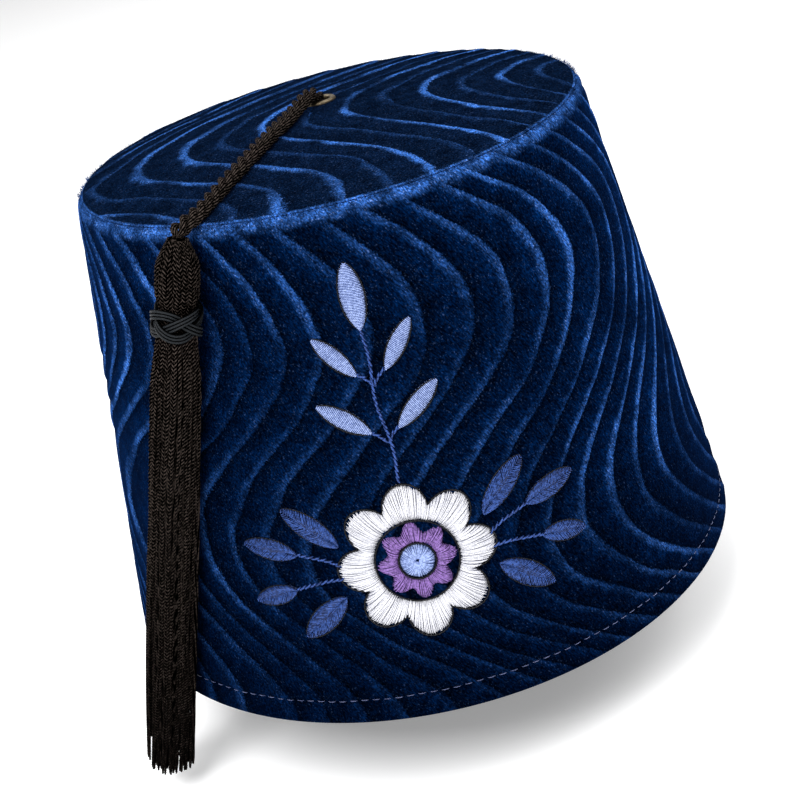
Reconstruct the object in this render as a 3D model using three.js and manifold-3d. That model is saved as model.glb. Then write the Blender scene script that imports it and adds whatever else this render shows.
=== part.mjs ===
// A fez: a stiff, flat-topped cone of velvet over felt, with a corded tassel
// that leaves an eyelet in the crown, and a stitched flower spray on the front.
// Millimetres, +Z up, front towards -Y. The origin is the centre of the rim.

import * as THREE from "three";
import { mergeVertices } from "three/addons/utils/BufferGeometryUtils.js";
import Module from "manifold-3d";

const wasm = await Module();
wasm.setup();

// Driving dimensions of the crown
const RIM_RADIUS = 92.5;
const TOP_RADIUS = 71.3;
const HEIGHT = 135;
const DOME_RISE = 6;
const WALL = 2.6;
const TOP_THICKNESS = 2.4;
const TOP_EDGE_DEPTH = 3;
const EDGE_ROUND = 2.4;
const HEM_ROUND = 0.7;
const GAP = 0.3;
const ROUND_SEGMENTS = 96;

// Eyelet, a little behind the middle of the top
const EYELET_SET_BACK = 8;
const EYELET_FLANGE_RADIUS = 5;
const EYELET_BARREL_RADIUS = 4.1;
const EYELET_BORE_RADIUS = 3.3;
const EYELET_FLANGE = 0.8;

// Cord and the knot that stops it inside the crown
const CORD_DIAMETER = 4.2;
const CORD_SIDES = 10;
const CORD_STEPS = 38;
const STOPPER_RADIUS = 5.4;
const STOPPER_HEIGHT = 9.6;

// Tassel. It lies along the wall, and its angle round the crown drifts as it drops
const TASSEL_STANDOFF = 7.2;
const TASSEL_TOP = 134.5;
const TASSEL_ANGLE_AT_TOP = -32;
const TASSEL_DRIFT_PER_MM = 0.1827;
const HEAD_BOTTOM = 107.4;
const HEAD_RADIUS = 5.7;
const NECK_RADIUS = 4.5;
const BAND_CENTRE = 115;
const BAND_HEIGHT = 8;
const BAND_RADIUS = 6.7;
const SKIRT_TOP = 110.7;
const SKIRT_TIP = -23.6;
const LOCK_SIDES = 8;
const LOCK_RINGS = 9;

// Raised stitching, placed from the middle of the spray
const SPRAY_ANGLE = -3;
const STITCH_EDGE = 0.35;
const PETALS = 8;
const PETAL_TIP = 20.5;
const PETAL_NOTCH = 14.5;
const PETAL_ROOT = 10.9;
const STAR_TIP = 10.4;
const STAR_NOTCH = 7.6;
const STAR_ROOT = 4.9;
const BUTTON_RADIUS = 4.5;
const FLOWER_HEIGHT = 43;

const COLOURS = {
  velvet: 0x0b1c4d,
  brass: 0x8a7a55,
  cord: 0x17120f,
  white: 0xe9e9ee,
  violet: 0x6b4a94,
  lightBlue: 0x8fa6dc,
  blue: 0x2f4f9e,
};

const radians = THREE.MathUtils.degToRad;
const lerp = THREE.MathUtils.lerp;

// Radius of the outer wall at a height, carried on in a straight line past the rim
function wallRadius(z) {
  return RIM_RADIUS + ((TOP_RADIUS - RIM_RADIUS) * z) / HEIGHT;
}

// Height of the slightly domed top at a place on it
function domeHeight(x, y) {
  return HEIGHT + DOME_RISE * (1 - (x * x + y * y) / TOP_RADIUS ** 2);
}

// A place beside the wall: angle from the front in degrees, height, distance off it
function besideWall(angle, z, off) {
  const r = wallRadius(z) + off;
  return new THREE.Vector3(r * Math.sin(radians(angle)), -r * Math.cos(radians(angle)), z);
}

// A closed body through rings of points. A ring of one point is a pole, and
// with looped the last ring joins the first.
function skin(rings, looped = false) {
  const corners = [];
  const corner = (ring, i) => ring[i % ring.length];
  const face = (a, b, c) => {
    if (a !== b && b !== c && c !== a) corners.push(a, b, c);
  };
  const count = looped ? rings.length : rings.length - 1;
  for (let j = 0; j < count; j++) {
    const here = rings[j];
    const next = rings[(j + 1) % rings.length];
    const sides = Math.max(here.length, next.length);
    for (let i = 0; i < sides; i++) {
      face(corner(here, i), corner(here, i + 1), corner(next, i + 1));
      face(corner(here, i), corner(next, i + 1), corner(next, i));
    }
  }
  return new THREE.BufferGeometry().setFromPoints(corners);
}

function solid(geometry) {
  const bare = geometry.index ? geometry.toNonIndexed() : geometry.clone();
  bare.deleteAttribute("normal");
  bare.deleteAttribute("uv");
  const merged = mergeVertices(bare, 1e-4);
  return new wasm.Manifold(
    new wasm.Mesh({
      numProp: 3,
      vertProperties: merged.attributes.position.array,
      triVerts: new Uint32Array(merged.index.array),
    }),
  );
}

function fused(geometries) {
  const body = geometries.map(solid).reduce((sum, next) => sum.add(next)).getMesh();
  const geometry = new THREE.BufferGeometry();
  geometry.setAttribute("position", new THREE.BufferAttribute(body.vertProperties, 3));
  geometry.setIndex(new THREE.BufferAttribute(body.triVerts, 1));
  return geometry;
}

function piece(name, geometry, color, roughness = 0.9, metalness = 0) {
  const shown = geometry.index ? geometry.toNonIndexed() : geometry;
  shown.computeVertexNormals();
  const material = new THREE.MeshStandardMaterial({ color, roughness, metalness });
  const mesh = new THREE.Mesh(shown, material);
  mesh.name = name;
  return mesh;
}

// A profile of [radius, height] pairs turned about Z
function turned(profile, segments = ROUND_SEGMENTS) {
  const points = profile.map(([r, z]) => new THREE.Vector2(r, z));
  return new THREE.LatheGeometry(points, segments).rotateX(Math.PI / 2);
}

function crownWall() {
  const top = HEIGHT - TOP_EDGE_DEPTH;
  const profile = [
    [RIM_RADIUS - WALL, 0],
    [RIM_RADIUS - HEM_ROUND, 0],
    [wallRadius(HEM_ROUND), HEM_ROUND],
    [wallRadius(top), top],
    [wallRadius(top) - WALL, top],
    [RIM_RADIUS - WALL, 0],
  ];
  return piece("crown_wall", turned(profile), COLOURS.velvet);
}

// The top: a shallow dome round the eyelet's hole, rounded over at its edge
function crownTop() {
  const holeRadius = EYELET_BARREL_RADIUS + GAP;
  const seat = HEIGHT - TOP_EDGE_DEPTH + GAP;
  const flat = TOP_RADIUS - EDGE_ROUND;
  const circle = (share, radius, heightAt) =>
    Array.from({ length: ROUND_SEGMENTS }, (_, i) => {
      const a = (2 * Math.PI * i) / ROUND_SEGMENTS;
      const x = radius * Math.cos(a);
      const y = radius * Math.sin(a) + EYELET_SET_BACK * (1 - share);
      return new THREE.Vector3(x, y, heightAt(x, y));
    });
  const outside = (x, y) => domeHeight(x, y);
  const inside = (x, y) => Math.max(seat, domeHeight(x, y) - TOP_THICKNESS);
  const upperShares = [0, 0.15, 0.4, 0.7, 1];
  const lowerShares = [1, 0.6, 0.2, 0];
  const level = (share, heightAt) => circle(share, lerp(holeRadius, flat, share), heightAt);
  const upper = upperShares.map((s) => level(s, outside));
  const bends = [45, 90].map((turn) => {
    const radius = flat + EDGE_ROUND * Math.sin(radians(turn));
    const drop = EDGE_ROUND * (1 - Math.cos(radians(turn)));
    return circle(1, radius, () => domeHeight(flat, 0) - drop);
  });
  const foot = circle(1, wallRadius(seat), () => seat);
  const lower = lowerShares.map((s) => level(s, inside));
  const rings = [...upper, ...bends, foot, ...lower];
  return piece("crown_top", skin(rings.reverse(), true), COLOURS.velvet);
}

// A metal eyelet: two flanges on a barrel, square to the dome where it sits
function eyelet() {
  const upper = GAP + EYELET_FLANGE;
  const lower = -TOP_THICKNESS - GAP - EYELET_FLANGE;
  const profile = [
    [EYELET_BORE_RADIUS, lower],
    [EYELET_FLANGE_RADIUS, lower],
    [EYELET_FLANGE_RADIUS, lower + EYELET_FLANGE],
    [EYELET_BARREL_RADIUS, lower + EYELET_FLANGE],
    [EYELET_BARREL_RADIUS, GAP],
    [EYELET_FLANGE_RADIUS, GAP],
    [EYELET_FLANGE_RADIUS - 0.2, upper - 0.2],
    [EYELET_FLANGE_RADIUS - 0.8, upper],
    [EYELET_BORE_RADIUS + 0.4, upper],
    [EYELET_BORE_RADIUS, upper - 0.4],
    [EYELET_BORE_RADIUS, lower],
  ];
  const ring = piece("eyelet", turned(profile, 32), COLOURS.brass, 0.4, 1);
  const slope = (2 * DOME_RISE * EYELET_SET_BACK) / TOP_RADIUS ** 2;
  ring.position.set(0, EYELET_SET_BACK, domeHeight(0, EYELET_SET_BACK));
  ring.rotation.x = -Math.atan(slope);
  return ring;
}

// The centre line of the cord, from the stopper knot to the head of the tassel
const CORD_ROUTE = [
  [0, 8, 136.7],
  [0, 8, 139.4],
  [-0.1, 7.8, 142.2],
  [-1.3, 5.4, 144.2],
  [-3.6, 1.1, 144.7],
  [-6.4, -4.4, 144],
  [-10.2, -12.4, 143.3],
  [-14.6, -21.6, 142.9],
  [-19, -30.6, 142.2],
  [-23.4, -38.8, 141.2],
  [-27.8, -46.6, 140.1],
  [-31.4, -52.8, 139],
  [-34.4, -57.6, 138.1],
  [-37.1, -61.7, 137.6],
  [-39.4, -64.4, 137.2],
  [-40.9, -66.1, 136.4],
  [-41.4, -66.65, 135.2],
];

function tasselCord() {
  const route = CORD_ROUTE.map(([x, y, z]) => new THREE.Vector3(x, y, z));
  const section = new THREE.Shape().absarc(0, 0, CORD_DIAMETER / 2, 0, 2 * Math.PI);
  const tube = new THREE.ExtrudeGeometry(section, {
    extrudePath: new THREE.CatmullRomCurve3(route, false, "centripetal"),
    steps: CORD_STEPS,
    curveSegments: CORD_SIDES / 2,
  });
  return piece("tassel_cord", tube, COLOURS.cord);
}

function cordStopper() {
  const profile = Array.from({ length: 9 }, (_, i) => {
    const a = (Math.PI * i) / 8;
    return [STOPPER_RADIUS * Math.sin(a), (-STOPPER_HEIGHT / 2) * Math.cos(a)];
  });
  const ball = piece("cord_stopper", turned(profile, 20), COLOURS.cord);
  ball.position.set(0, EYELET_SET_BACK, CORD_ROUTE[0][2] - GAP - STOPPER_HEIGHT / 2);
  return ball;
}

// The middle line of the tassel by height, and its side, outward and down directions
function tasselPlace(z) {
  const angle = TASSEL_ANGLE_AT_TOP - TASSEL_DRIFT_PER_MM * (TASSEL_TOP - z);
  return besideWall(angle, z, TASSEL_STANDOFF);
}

function tasselFrame(z) {
  const origin = tasselPlace(z);
  const down = tasselPlace(z - 1).sub(tasselPlace(z + 1)).normalize();
  const out = new THREE.Vector3(origin.x, origin.y, 0).normalize();
  const side = new THREE.Vector3().crossVectors(out, down).normalize();
  out.crossVectors(down, side);
  return { origin, side, out, down };
}

function tasselRing(z, half, depth, sideways = 0, outwards = 0, sides = LOCK_SIDES) {
  const { origin, side, out } = tasselFrame(z);
  return Array.from({ length: sides }, (_, i) => {
    const a = (2 * Math.PI * i) / sides;
    return origin
      .clone()
      .addScaledVector(side, sideways + half * Math.cos(a))
      .addScaledVector(out, outwards + depth * Math.sin(a));
  });
}

function middleOf(ring) {
  return ring.reduce((sum, point) => sum.add(point), new THREE.Vector3()).divideScalar(ring.length);
}

// The head: pinched where the cord enters, full below it, drawn in under the band
function tasselHead() {
  const outline = [
    { z: TASSEL_TOP, radius: 2.4 },
    { z: TASSEL_TOP - 0.9, radius: 3.8 },
    { z: TASSEL_TOP - 3, radius: 5.1 },
    { z: TASSEL_TOP - 6.5, radius: HEAD_RADIUS },
    { z: TASSEL_TOP - 12, radius: HEAD_RADIUS },
    { z: BAND_CENTRE + BAND_HEIGHT / 2, radius: NECK_RADIUS },
    { z: HEAD_BOTTOM, radius: NECK_RADIUS },
  ];
  const rings = outline.map(({ z, radius }) => tasselRing(z, radius, radius, 0, 0, 16));
  return skin([[tasselPlace(TASSEL_TOP)], ...rings, [tasselPlace(HEAD_BOTTOM)]]);
}

// Locks of the skirt: where each lies across the tassel, and where it ends
const LOCKS = [
  { side: 0, out: 0, half: 4.4, depth: 4.4, tip: -18.6 },
  { side: -4.6, out: 0.4, half: 3.6, depth: 4.2, tip: -12.6 },
  { side: 4.6, out: -0.2, half: 3.6, depth: 4.2, tip: -15.6 },
  { side: -1.8, out: 2.6, half: 3.1, depth: 2.9, tip: -21.6 },
  { side: 2.6, out: 2.4, half: 3, depth: 2.9, tip: -9.6 },
  { side: -3, out: -3.1, half: 3.2, depth: 3, tip: -16.6 },
  { side: 2.2, out: -3.3, half: 3.2, depth: 3, tip: SKIRT_TIP },
];
const LOCK_SPREAD = { top: 0.62, bottom: 1.18 };
const LOCK_TIP_SHARE = 0.7;

function tasselLock({ side, out, half, depth, tip }) {
  const rings = Array.from({ length: LOCK_RINGS }, (_, i) => {
    const share = i / (LOCK_RINGS - 1);
    const spread = lerp(LOCK_SPREAD.top, LOCK_SPREAD.bottom, Math.sqrt(share));
    const size = share < 1 ? spread : spread * LOCK_TIP_SHARE;
    const z = lerp(SKIRT_TOP, tip, share);
    return tasselRing(z, half * size, depth * size, side * spread, out * spread);
  });
  return skin([[middleOf(rings[0])], ...rings, [middleOf(rings.at(-1))]]);
}

function tassel() {
  const geometry = fused([tasselHead(), ...LOCKS.map(tasselLock)]);
  return piece("tassel", geometry, COLOURS.cord);
}

// The woven band round the neck of the tassel
function tasselBand() {
  const inner = NECK_RADIUS + GAP;
  const middle = (inner + BAND_RADIUS) / 2;
  const reach = (BAND_RADIUS - inner) / 2;
  const profile = Array.from({ length: 13 }, (_, i) => {
    const a = (2 * Math.PI * i) / 12;
    const squared = Math.sign(Math.sin(a)) * Math.sqrt(Math.abs(Math.sin(a)));
    return [middle + reach * Math.cos(a), (BAND_HEIGHT / 2) * squared];
  });
  const band = piece("tassel_band", turned(profile, 24), COLOURS.cord);
  const { origin, side, out, down } = tasselFrame(BAND_CENTRE);
  const up = down.negate();
  band.quaternion.setFromRotationMatrix(new THREE.Matrix4().makeBasis(out, side, up));
  band.position.copy(origin);
  return band;
}

// A place on the stitched spray: across and up from its middle line, and off the wall
function onSpray(across, z, off) {
  const angle = SPRAY_ANGLE + THREE.MathUtils.radToDeg(across / wallRadius(z));
  return besideWall(angle, z, off);
}

// A pad of satin stitch between two outlines, laid on the wall. The outlines are
// functions of the angle, and a pad without a hole rises to its middle.
function satinPad({ across, z, outer, hole, crest, sides, rings = 2, turn = 0 }) {
  const spin = radians(turn);
  const ring = (share, off) =>
    Array.from({ length: hole || share > 0 ? sides : 1 }, (_, i) => {
      const a = (2 * Math.PI * i) / sides;
      const [ox, oy] = outer(a);
      const [hx, hy] = hole ? hole(a) : [0, 0];
      const x = lerp(hx, ox, share);
      const y = lerp(hy, oy, share);
      const u = across + x * Math.cos(spin) - y * Math.sin(spin);
      const v = z + x * Math.sin(spin) + y * Math.cos(spin);
      return onSpray(u, v, off);
    });
  const shares = Array.from({ length: rings + 1 }, (_, j) => j / rings);
  const rise = (share) => (hole ? Math.sin(Math.PI * share) : Math.cos((Math.PI * share) / 2));
  const thickness = (share) => STITCH_EDGE + (crest - STITCH_EDGE) * rise(share);
  const upper = shares.map((s) => ring(s, GAP + thickness(s)));
  const lower = shares.map((s) => ring(s, GAP)).reverse();
  return skin([...upper, ...lower].reverse(), Boolean(hole));
}

function round(radius) {
  return (a) => [radius * Math.cos(a), radius * Math.sin(a)];
}

// A ring of petals: the radius swings between the notches and the rounded tips
function petalled(tip, notch, count, sharpness) {
  return (a) => {
    const swing = Math.abs(Math.cos((a * count) / 2)) ** sharpness;
    const radius = lerp(notch, tip, swing);
    return [radius * Math.cos(a), radius * Math.sin(a)];
  };
}

// A leaf: an oval drawn to a point at both ends
function leafOutline(length, width) {
  return (a) => {
    const s = Math.sin(a);
    return [(length / 2) * Math.cos(a), (width / 2) * s * Math.abs(s) ** 0.35];
  };
}

function flower() {
  const place = { across: 0, z: FLOWER_HEIGHT, sides: 80 };
  const petals = petalled(PETAL_TIP, PETAL_NOTCH, PETALS, 0.7);
  const star = petalled(STAR_TIP, STAR_NOTCH, PETALS, 1.6);
  return [
    piece("flower_petals",
      satinPad({ ...place, outer: petals, hole: round(PETAL_ROOT), crest: 1.1 }), COLOURS.white),
    piece("flower_star",
      satinPad({ ...place, outer: star, hole: round(STAR_ROOT), crest: 1, sides: 48 }), COLOURS.violet),
    piece("flower_button",
      satinPad({ ...place, outer: round(BUTTON_RADIUS), crest: 1.6, sides: 24 }), COLOURS.lightBlue),
  ];
}

// Leaves and buds of the spray: the middle of each, the way it points, and its size.
// A row with mirror also stands on the other side of the middle line.
const LEAVES = [
  { name: "leaf_inner", across: 25.5, z: 56, turn: 40, length: 17, width: 6.4, mirror: true, color: "blue" },
  { name: "leaf_outer", across: 38, z: 50.5, turn: 12, length: 15, width: 5.8, mirror: true, color: "blue" },
  { name: "leaf_low", across: 27, z: 31, turn: -38, length: 17, width: 6.4, mirror: true, color: "blue" },
  { name: "leaf_end", across: 39.5, z: 37.5, turn: -14, length: 13, width: 5.2, mirror: true, color: "blue" },
  { name: "sprig_low", across: 9.4, z: 83, turn: 38, length: 15, width: 5, mirror: true, color: "lightBlue" },
  { name: "sprig_top", across: 8, z: 99, turn: 52, length: 14, width: 4.6, mirror: true, color: "lightBlue" },
  { name: "bud", across: 0, z: 113, turn: 90, length: 17, width: 6.4, mirror: false, color: "lightBlue" },
];

function leaf({ across, z, turn, length, width }) {
  return satinPad({ across, z, turn, outer: leafOutline(length, width), crest: 1, sides: 20 });
}

function leaves() {
  return LEAVES.flatMap((row) => {
    const color = COLOURS[row.color];
    if (!row.mirror) return [piece(row.name, leaf(row), color)];
    const other = { ...row, across: -row.across, turn: 180 - row.turn };
    return [
      piece(`${row.name}_right`, leaf(row), color),
      piece(`${row.name}_left`, leaf(other), color),
    ];
  });
}

const fez = new THREE.Group();
fez.add(crownWall(), crownTop(), eyelet());
fez.add(cordStopper(), tasselCord(), tassel(), tasselBand());
fez.add(...flower(), ...leaves());

export default fez;
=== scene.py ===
"""A velvet fez: its cloth, stitched flower spray, eyelet, cord and tassel.

Sizes are in metres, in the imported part's frame: +Z up, the front towards -Y, and
the origin at the centre of the rim. Each class below is one sub-assembly or finish.
"""

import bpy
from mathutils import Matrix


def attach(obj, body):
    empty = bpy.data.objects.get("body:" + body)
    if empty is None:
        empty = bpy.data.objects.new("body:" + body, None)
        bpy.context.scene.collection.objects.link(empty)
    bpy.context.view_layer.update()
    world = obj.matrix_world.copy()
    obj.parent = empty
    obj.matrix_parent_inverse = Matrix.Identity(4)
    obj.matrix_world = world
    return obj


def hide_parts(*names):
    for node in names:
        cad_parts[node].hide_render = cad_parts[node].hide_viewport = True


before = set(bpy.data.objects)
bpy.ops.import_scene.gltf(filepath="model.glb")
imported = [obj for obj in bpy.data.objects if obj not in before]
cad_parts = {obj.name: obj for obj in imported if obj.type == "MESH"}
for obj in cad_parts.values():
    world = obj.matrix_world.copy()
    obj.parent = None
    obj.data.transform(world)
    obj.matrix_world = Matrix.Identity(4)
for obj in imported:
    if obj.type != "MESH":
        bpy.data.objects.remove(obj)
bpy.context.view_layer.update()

import logging
from collections.abc import Callable, Sequence
from dataclasses import dataclass, field, replace
from enum import Enum

import bpy
import numpy as np
from mathutils import Matrix, Vector

Array = np.ndarray
Outline = Callable[[Array], Array]
LOG = logging.getLogger("fez")
TURN = 2 * np.pi


class Slot(Enum):
    """Material slots of the record."""

    VELVET = "velvet"
    EYELET = "eyelet"
    CORD = "cord"
    BAND = "band"
    WHITE = "thread_white"
    VIOLET = "thread_violet"
    LIGHT_BLUE = "thread_light_blue"
    BLUE = "thread_blue"


# Arithmetic on arrays


def lerp(low: Array | float, high: Array | float, share: Array | float) -> Array | float:
    """The value that lies `share` of the way from low to high."""
    return low + (high - low) * share


def smooth(low: float, high: float, value: Array) -> Array:
    """0 below low, 1 above high, and 3t^2 - 2t^3 between them."""
    t = np.clip((value - low) / (high - low), 0, 1)
    return t * t * (3 - 2 * t)


@dataclass(frozen=True)
class Step:
    """A smooth step between two levels, from low to high."""

    low: float
    high: float
    start: float = 0.0
    end: float = 1.0

    def at(self, value: Array) -> Array:
        """The level at a value."""
        return lerp(self.start, self.end, smooth(self.low, self.high, value))


def dot(a: Array, b: Array) -> Array:
    """Dot product over the last axis, kept as an axis of one."""
    return (a * b).sum(axis=-1, keepdims=True)


def unit(vectors: Array) -> Array:
    """Vectors over their own lengths."""
    return vectors / np.sqrt(dot(vectors, vectors))


def stacked(*columns: Array | float) -> Array:
    """Coordinates broadcast together and stacked on a new last axis."""
    return np.stack(np.broadcast_arrays(*columns), axis=-1)


def polar(radius: Array | float, angle: Array | float, z: Array | float) -> Array:
    """Points by radius, angle from the front in radians, and height."""
    return stacked(radius * np.sin(angle), -radius * np.cos(angle), z)


def frames_along(path: Array, reference: Array) -> tuple[Array, Array]:
    """Section axes along centre lines.

    Side is the reference made square to the tangent, and lift is tangent x side.

    Args:
        path: Centres, shaped (..., rings, 3).
        reference: A direction that is nowhere along the path, broadcast over it.

    Returns:
        The side and lift unit vectors, shaped as the path.
    """
    tangent = unit(np.gradient(path, axis=-2))
    side = unit(reference - dot(reference, tangent) * tangent)
    return side, np.cross(tangent, side)


def catmull_rom(points: Array, per_span: int) -> Array:
    """Centripetal Catmull-Rom curve through points, whose knots are root distances.

    Args:
        points: The points to pass through, shaped (n, 3).
        per_span: Samples on each span.

    Returns:
        The curve's points, ends included.
    """
    held = np.vstack([2 * points[0] - points[1], points, 2 * points[-1] - points[-2]])
    gap = np.sqrt(np.linalg.norm(np.diff(held, axis=0), axis=1))[:, None]
    step = np.diff(held, axis=0)
    inner = (held[2:] - held[:-2]) / (gap[:-1] + gap[1:])
    slope = step[:-1] / gap[:-1] - inner + step[1:] / gap[1:]
    leave, arrive = slope[:-1] * gap[1:-1], slope[1:] * gap[1:-1]
    t = np.linspace(0, 1, per_span, endpoint=False)[None, :, None]
    start, end = points[:-1, None], points[1:, None]
    curve = (
        (2 * t**3 - 3 * t**2 + 1) * start
        + (t**3 - 2 * t**2 + t) * leave[:, None]
        + (3 * t**2 - 2 * t**3) * end
        + (t**3 - t**2) * arrive[:, None]
    )
    return np.vstack([curve.reshape(-1, 3), points[-1:]])


def evenly(path: Array, count: int) -> Array:
    """The path sampled again at equal distances along it.

    Args:
        path: The points, shaped (n, 3).
        count: How many new points it gets.

    Returns:
        The new points.
    """
    along = path_length(path)
    at = np.linspace(0, along[-1], count)
    return stacked(*(np.interp(at, along, path[:, axis]) for axis in range(3)))


def path_length(path: Array) -> Array:
    """Distance along a path at each of its points."""
    return np.concatenate([[0], np.cumsum(np.linalg.norm(np.diff(path, axis=0), axis=1))])


def loop_tangent(line: Array) -> Array:
    """Unit tangents of a closed line, from the two neighbours of each point."""
    return unit(np.roll(line, -1, axis=0) - np.roll(line, 1, axis=0))


def sections(centre: Array, side: Array, lift: Array, radius: Array | float, angle: Array) -> Array:
    """Round sections along a line: centre + radius (cos(a) side + sin(a) lift).

    Args:
        centre: The line's points, shaped (rings, 3).
        side: Unit vectors towards angle 0, in the same shape.
        lift: Unit vectors towards a quarter turn.
        radius: Radii, broadcast over (rings, columns).
        angle: The columns' angles in radians.

    Returns:
        The sections' points, shaped (rings, columns, 3).
    """
    cos, sin = np.cos(angle)[None, :, None], np.sin(angle)[None, :, None]
    return centre[:, None] + np.asarray(radius)[..., None] * (cos * side[:, None] + sin * lift[:, None])


def grid_map(columns: int, across: float, rings: int, along: float) -> Array:
    """Map places of a grid whose columns run from 0 to across, and rings to along."""
    return stacked(np.linspace(0, across, columns + 1)[None], np.linspace(0, along, rings)[:, None])


# Meshes from arrays


@dataclass
class Shell:
    """Closed bodies as arrays: points, faces by corner, and each corner's map place."""

    points: Array
    quads: Array
    triangles: Array
    quad_map: Array
    triangle_map: Array

    @classmethod
    def from_grid(cls, points: Array, uv: Array, closed: bool = False) -> "Shell":
        """Bodies from grids of rings, whose columns meet round each ring.

        A closed grid's last ring meets its first. An open one gets a pole at the
        mean of each end ring. Faces are turned to give a positive volume.

        Args:
            points: Shaped (bodies, rings, columns, 3), or without the first axis.
            uv: Map places, shaped (bodies, rings, columns + 1, 2) in the same way.
            closed: Whether the rings themselves close in a loop.

        Returns:
            The bodies as one shell.
        """
        points = points if points.ndim == 4 else points[None]
        uv = np.broadcast_to(uv, (len(points), *uv.shape[-3:]))
        bodies, rings, columns, _ = points.shape
        row = np.arange(rings if closed else rings - 1)[:, None]
        col = np.arange(columns)[None, :]
        after, beside = (row + 1) % rings, (col + 1) % columns
        corners = [(row, col), (row, beside), (after, beside), (after, col)]
        quads = np.stack(np.broadcast_arrays(*(r * columns + c for r, c in corners)), -1)
        wide = columns + 1
        spots = [(row, col), (row, col + 1), (after, col + 1), (after, col)]
        places = np.stack(np.broadcast_arrays(*(r * wide + c for r, c in spots)), -1)
        flat = uv.reshape(bodies, -1, 2)
        quad_map = flat[:, places.reshape(-1, 4)].reshape(-1, 4, 2)
        body_points = points.reshape(bodies, -1, 3)
        triangles = np.zeros((0, 3), int)
        triangle_map = np.zeros((0, 3, 2))
        if not closed:
            ends = points[:, [0, -1]].mean(axis=2)
            body_points = np.concatenate([body_points, ends], axis=1)
            ring = np.arange(columns)
            beyond = (ring + 1) % columns
            last = (rings - 1) * columns
            first_pole = np.full(columns, rings * columns)
            fans = [
                np.stack([first_pole, beyond, ring], -1),
                np.stack([first_pole + 1, last + ring, last + beyond], -1),
            ]
            triangles = np.concatenate(fans)
            edge = np.stack([ring, ring + 1, ring], -1)
            flat_fans = np.concatenate([edge, edge + (rings - 1) * wide])
            triangle_map = flat[:, flat_fans].reshape(-1, 3, 2)
        shift = np.arange(bodies)[:, None, None] * body_points.shape[1]
        shell = cls(
            body_points.reshape(-1, 3),
            (quads.reshape(1, -1, 4) + shift).reshape(-1, 4),
            (triangles[None] + shift).reshape(-1, 3),
            quad_map,
            triangle_map,
        )
        return shell if shell.volume() > 0 else shell.turned_over()

    @classmethod
    def joined(cls, shells: Sequence["Shell"]) -> "Shell":
        """Several shells in one set of arrays.

        Args:
            shells: The shells, each closed.

        Returns:
            One shell, with the corners numbered on from shell to shell.
        """
        starts = np.cumsum([0] + [len(s.points) for s in shells[:-1]])
        return cls(
            np.concatenate([s.points for s in shells]),
            np.concatenate([s.quads + at for s, at in zip(shells, starts)]),
            np.concatenate([s.triangles + at for s, at in zip(shells, starts)]),
            np.concatenate([s.quad_map for s in shells]),
            np.concatenate([s.triangle_map for s in shells]),
        )

    def volume(self) -> float:
        """Signed volume: a sixth of the corner determinants, summed over triangles.

        Returns:
            The volume in cubic metres.
        """
        halves = [self.quads[:, [0, 1, 2]], self.quads[:, [0, 2, 3]], self.triangles]
        a, b, c = (self.points[np.concatenate(halves)[:, k]] for k in range(3))
        return float((a * np.cross(b, c)).sum() / 6)

    def turned_over(self) -> "Shell":
        """The same bodies with every face turned the other way."""
        faces = (self.quads, self.triangles, self.quad_map, self.triangle_map)
        return Shell(self.points, *(part[:, ::-1] for part in faces))

    def put(self, name: str, finish: bpy.types.Material) -> bpy.types.Object:
        """Makes a smooth-shaded mesh object at the origin.

        Args:
            name: The object's name.
            finish: Its material.

        Returns:
            The new object, linked to the scene.
        """
        mesh = bpy.data.meshes.new(name)
        corners = np.concatenate([self.quads.ravel(), self.triangles.ravel()])
        sizes = np.repeat([4, 3], [len(self.quads), len(self.triangles)])
        mesh.vertices.add(len(self.points))
        mesh.vertices.foreach_set("co", self.points.astype(np.float32).ravel())
        mesh.loops.add(len(corners))
        mesh.loops.foreach_set("vertex_index", corners.astype(np.int32))
        mesh.polygons.add(len(sizes))
        starts = np.concatenate([[0], np.cumsum(sizes)[:-1]])
        mesh.polygons.foreach_set("loop_start", starts.astype(np.int32))
        mesh.polygons.foreach_set("use_smooth", np.ones(len(sizes), bool))
        layer = mesh.uv_layers.new(name="lay")
        places = np.concatenate([self.quad_map.reshape(-1, 2), self.triangle_map.reshape(-1, 2)])
        layer.uv.foreach_set("vector", places.astype(np.float32).ravel())
        mesh.update(calc_edges=True)
        mesh.validate()
        mesh.materials.append(finish)
        piece = bpy.data.objects.new(name, mesh)
        bpy.context.scene.collection.objects.link(piece)
        return piece


def swept(
    path: Array, reference: Array, half: Array, depth: Array, sides: int, spin: Array | float = 0
) -> Shell:
    """Tubes of oval section along centre lines.

    A ring's point is centre + half cos(a) side + depth sin(a) lift, with both axes
    turned by the spin. The map holds twice the body's number plus the share round the
    section, and the distance along the path.

    Args:
        path: Centres, shaped (bodies, rings, 3) or (rings, 3).
        reference: Direction of the section's side, broadcast over the path.
        half: Half width along the side, broadcast over (bodies, rings).
        depth: Half width along the lift, in the same way.
        sides: Points round a section.
        spin: Turn of the section about the path, in radians.

    Returns:
        A closed shell, one body to a path.
    """
    side, lift = frames_along(path, reference)
    a = np.linspace(0, TURN, sides, endpoint=False)
    bodies = 2.0 * np.arange(path.shape[0] if path.ndim == 3 else 1)[:, None, None]
    x = np.asarray(half)[..., None] * np.cos(a)
    y = np.asarray(depth)[..., None] * np.sin(a)
    turn = np.asarray(spin)[..., None]
    across, up = x * np.cos(turn) - y * np.sin(turn), x * np.sin(turn) + y * np.cos(turn)
    points = (
        path[..., None, :]
        + across[..., None] * side[..., None, :]
        + up[..., None] * lift[..., None, :]
    )
    steps = np.linalg.norm(np.diff(path, axis=-2), axis=-1)
    along = np.concatenate([np.zeros((*steps.shape[:-1], 1)), steps.cumsum(axis=-1)], axis=-1)
    uv = stacked(bodies + np.linspace(0, 1, sides + 1), along[..., None])
    return Shell.from_grid(points, uv)


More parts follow.
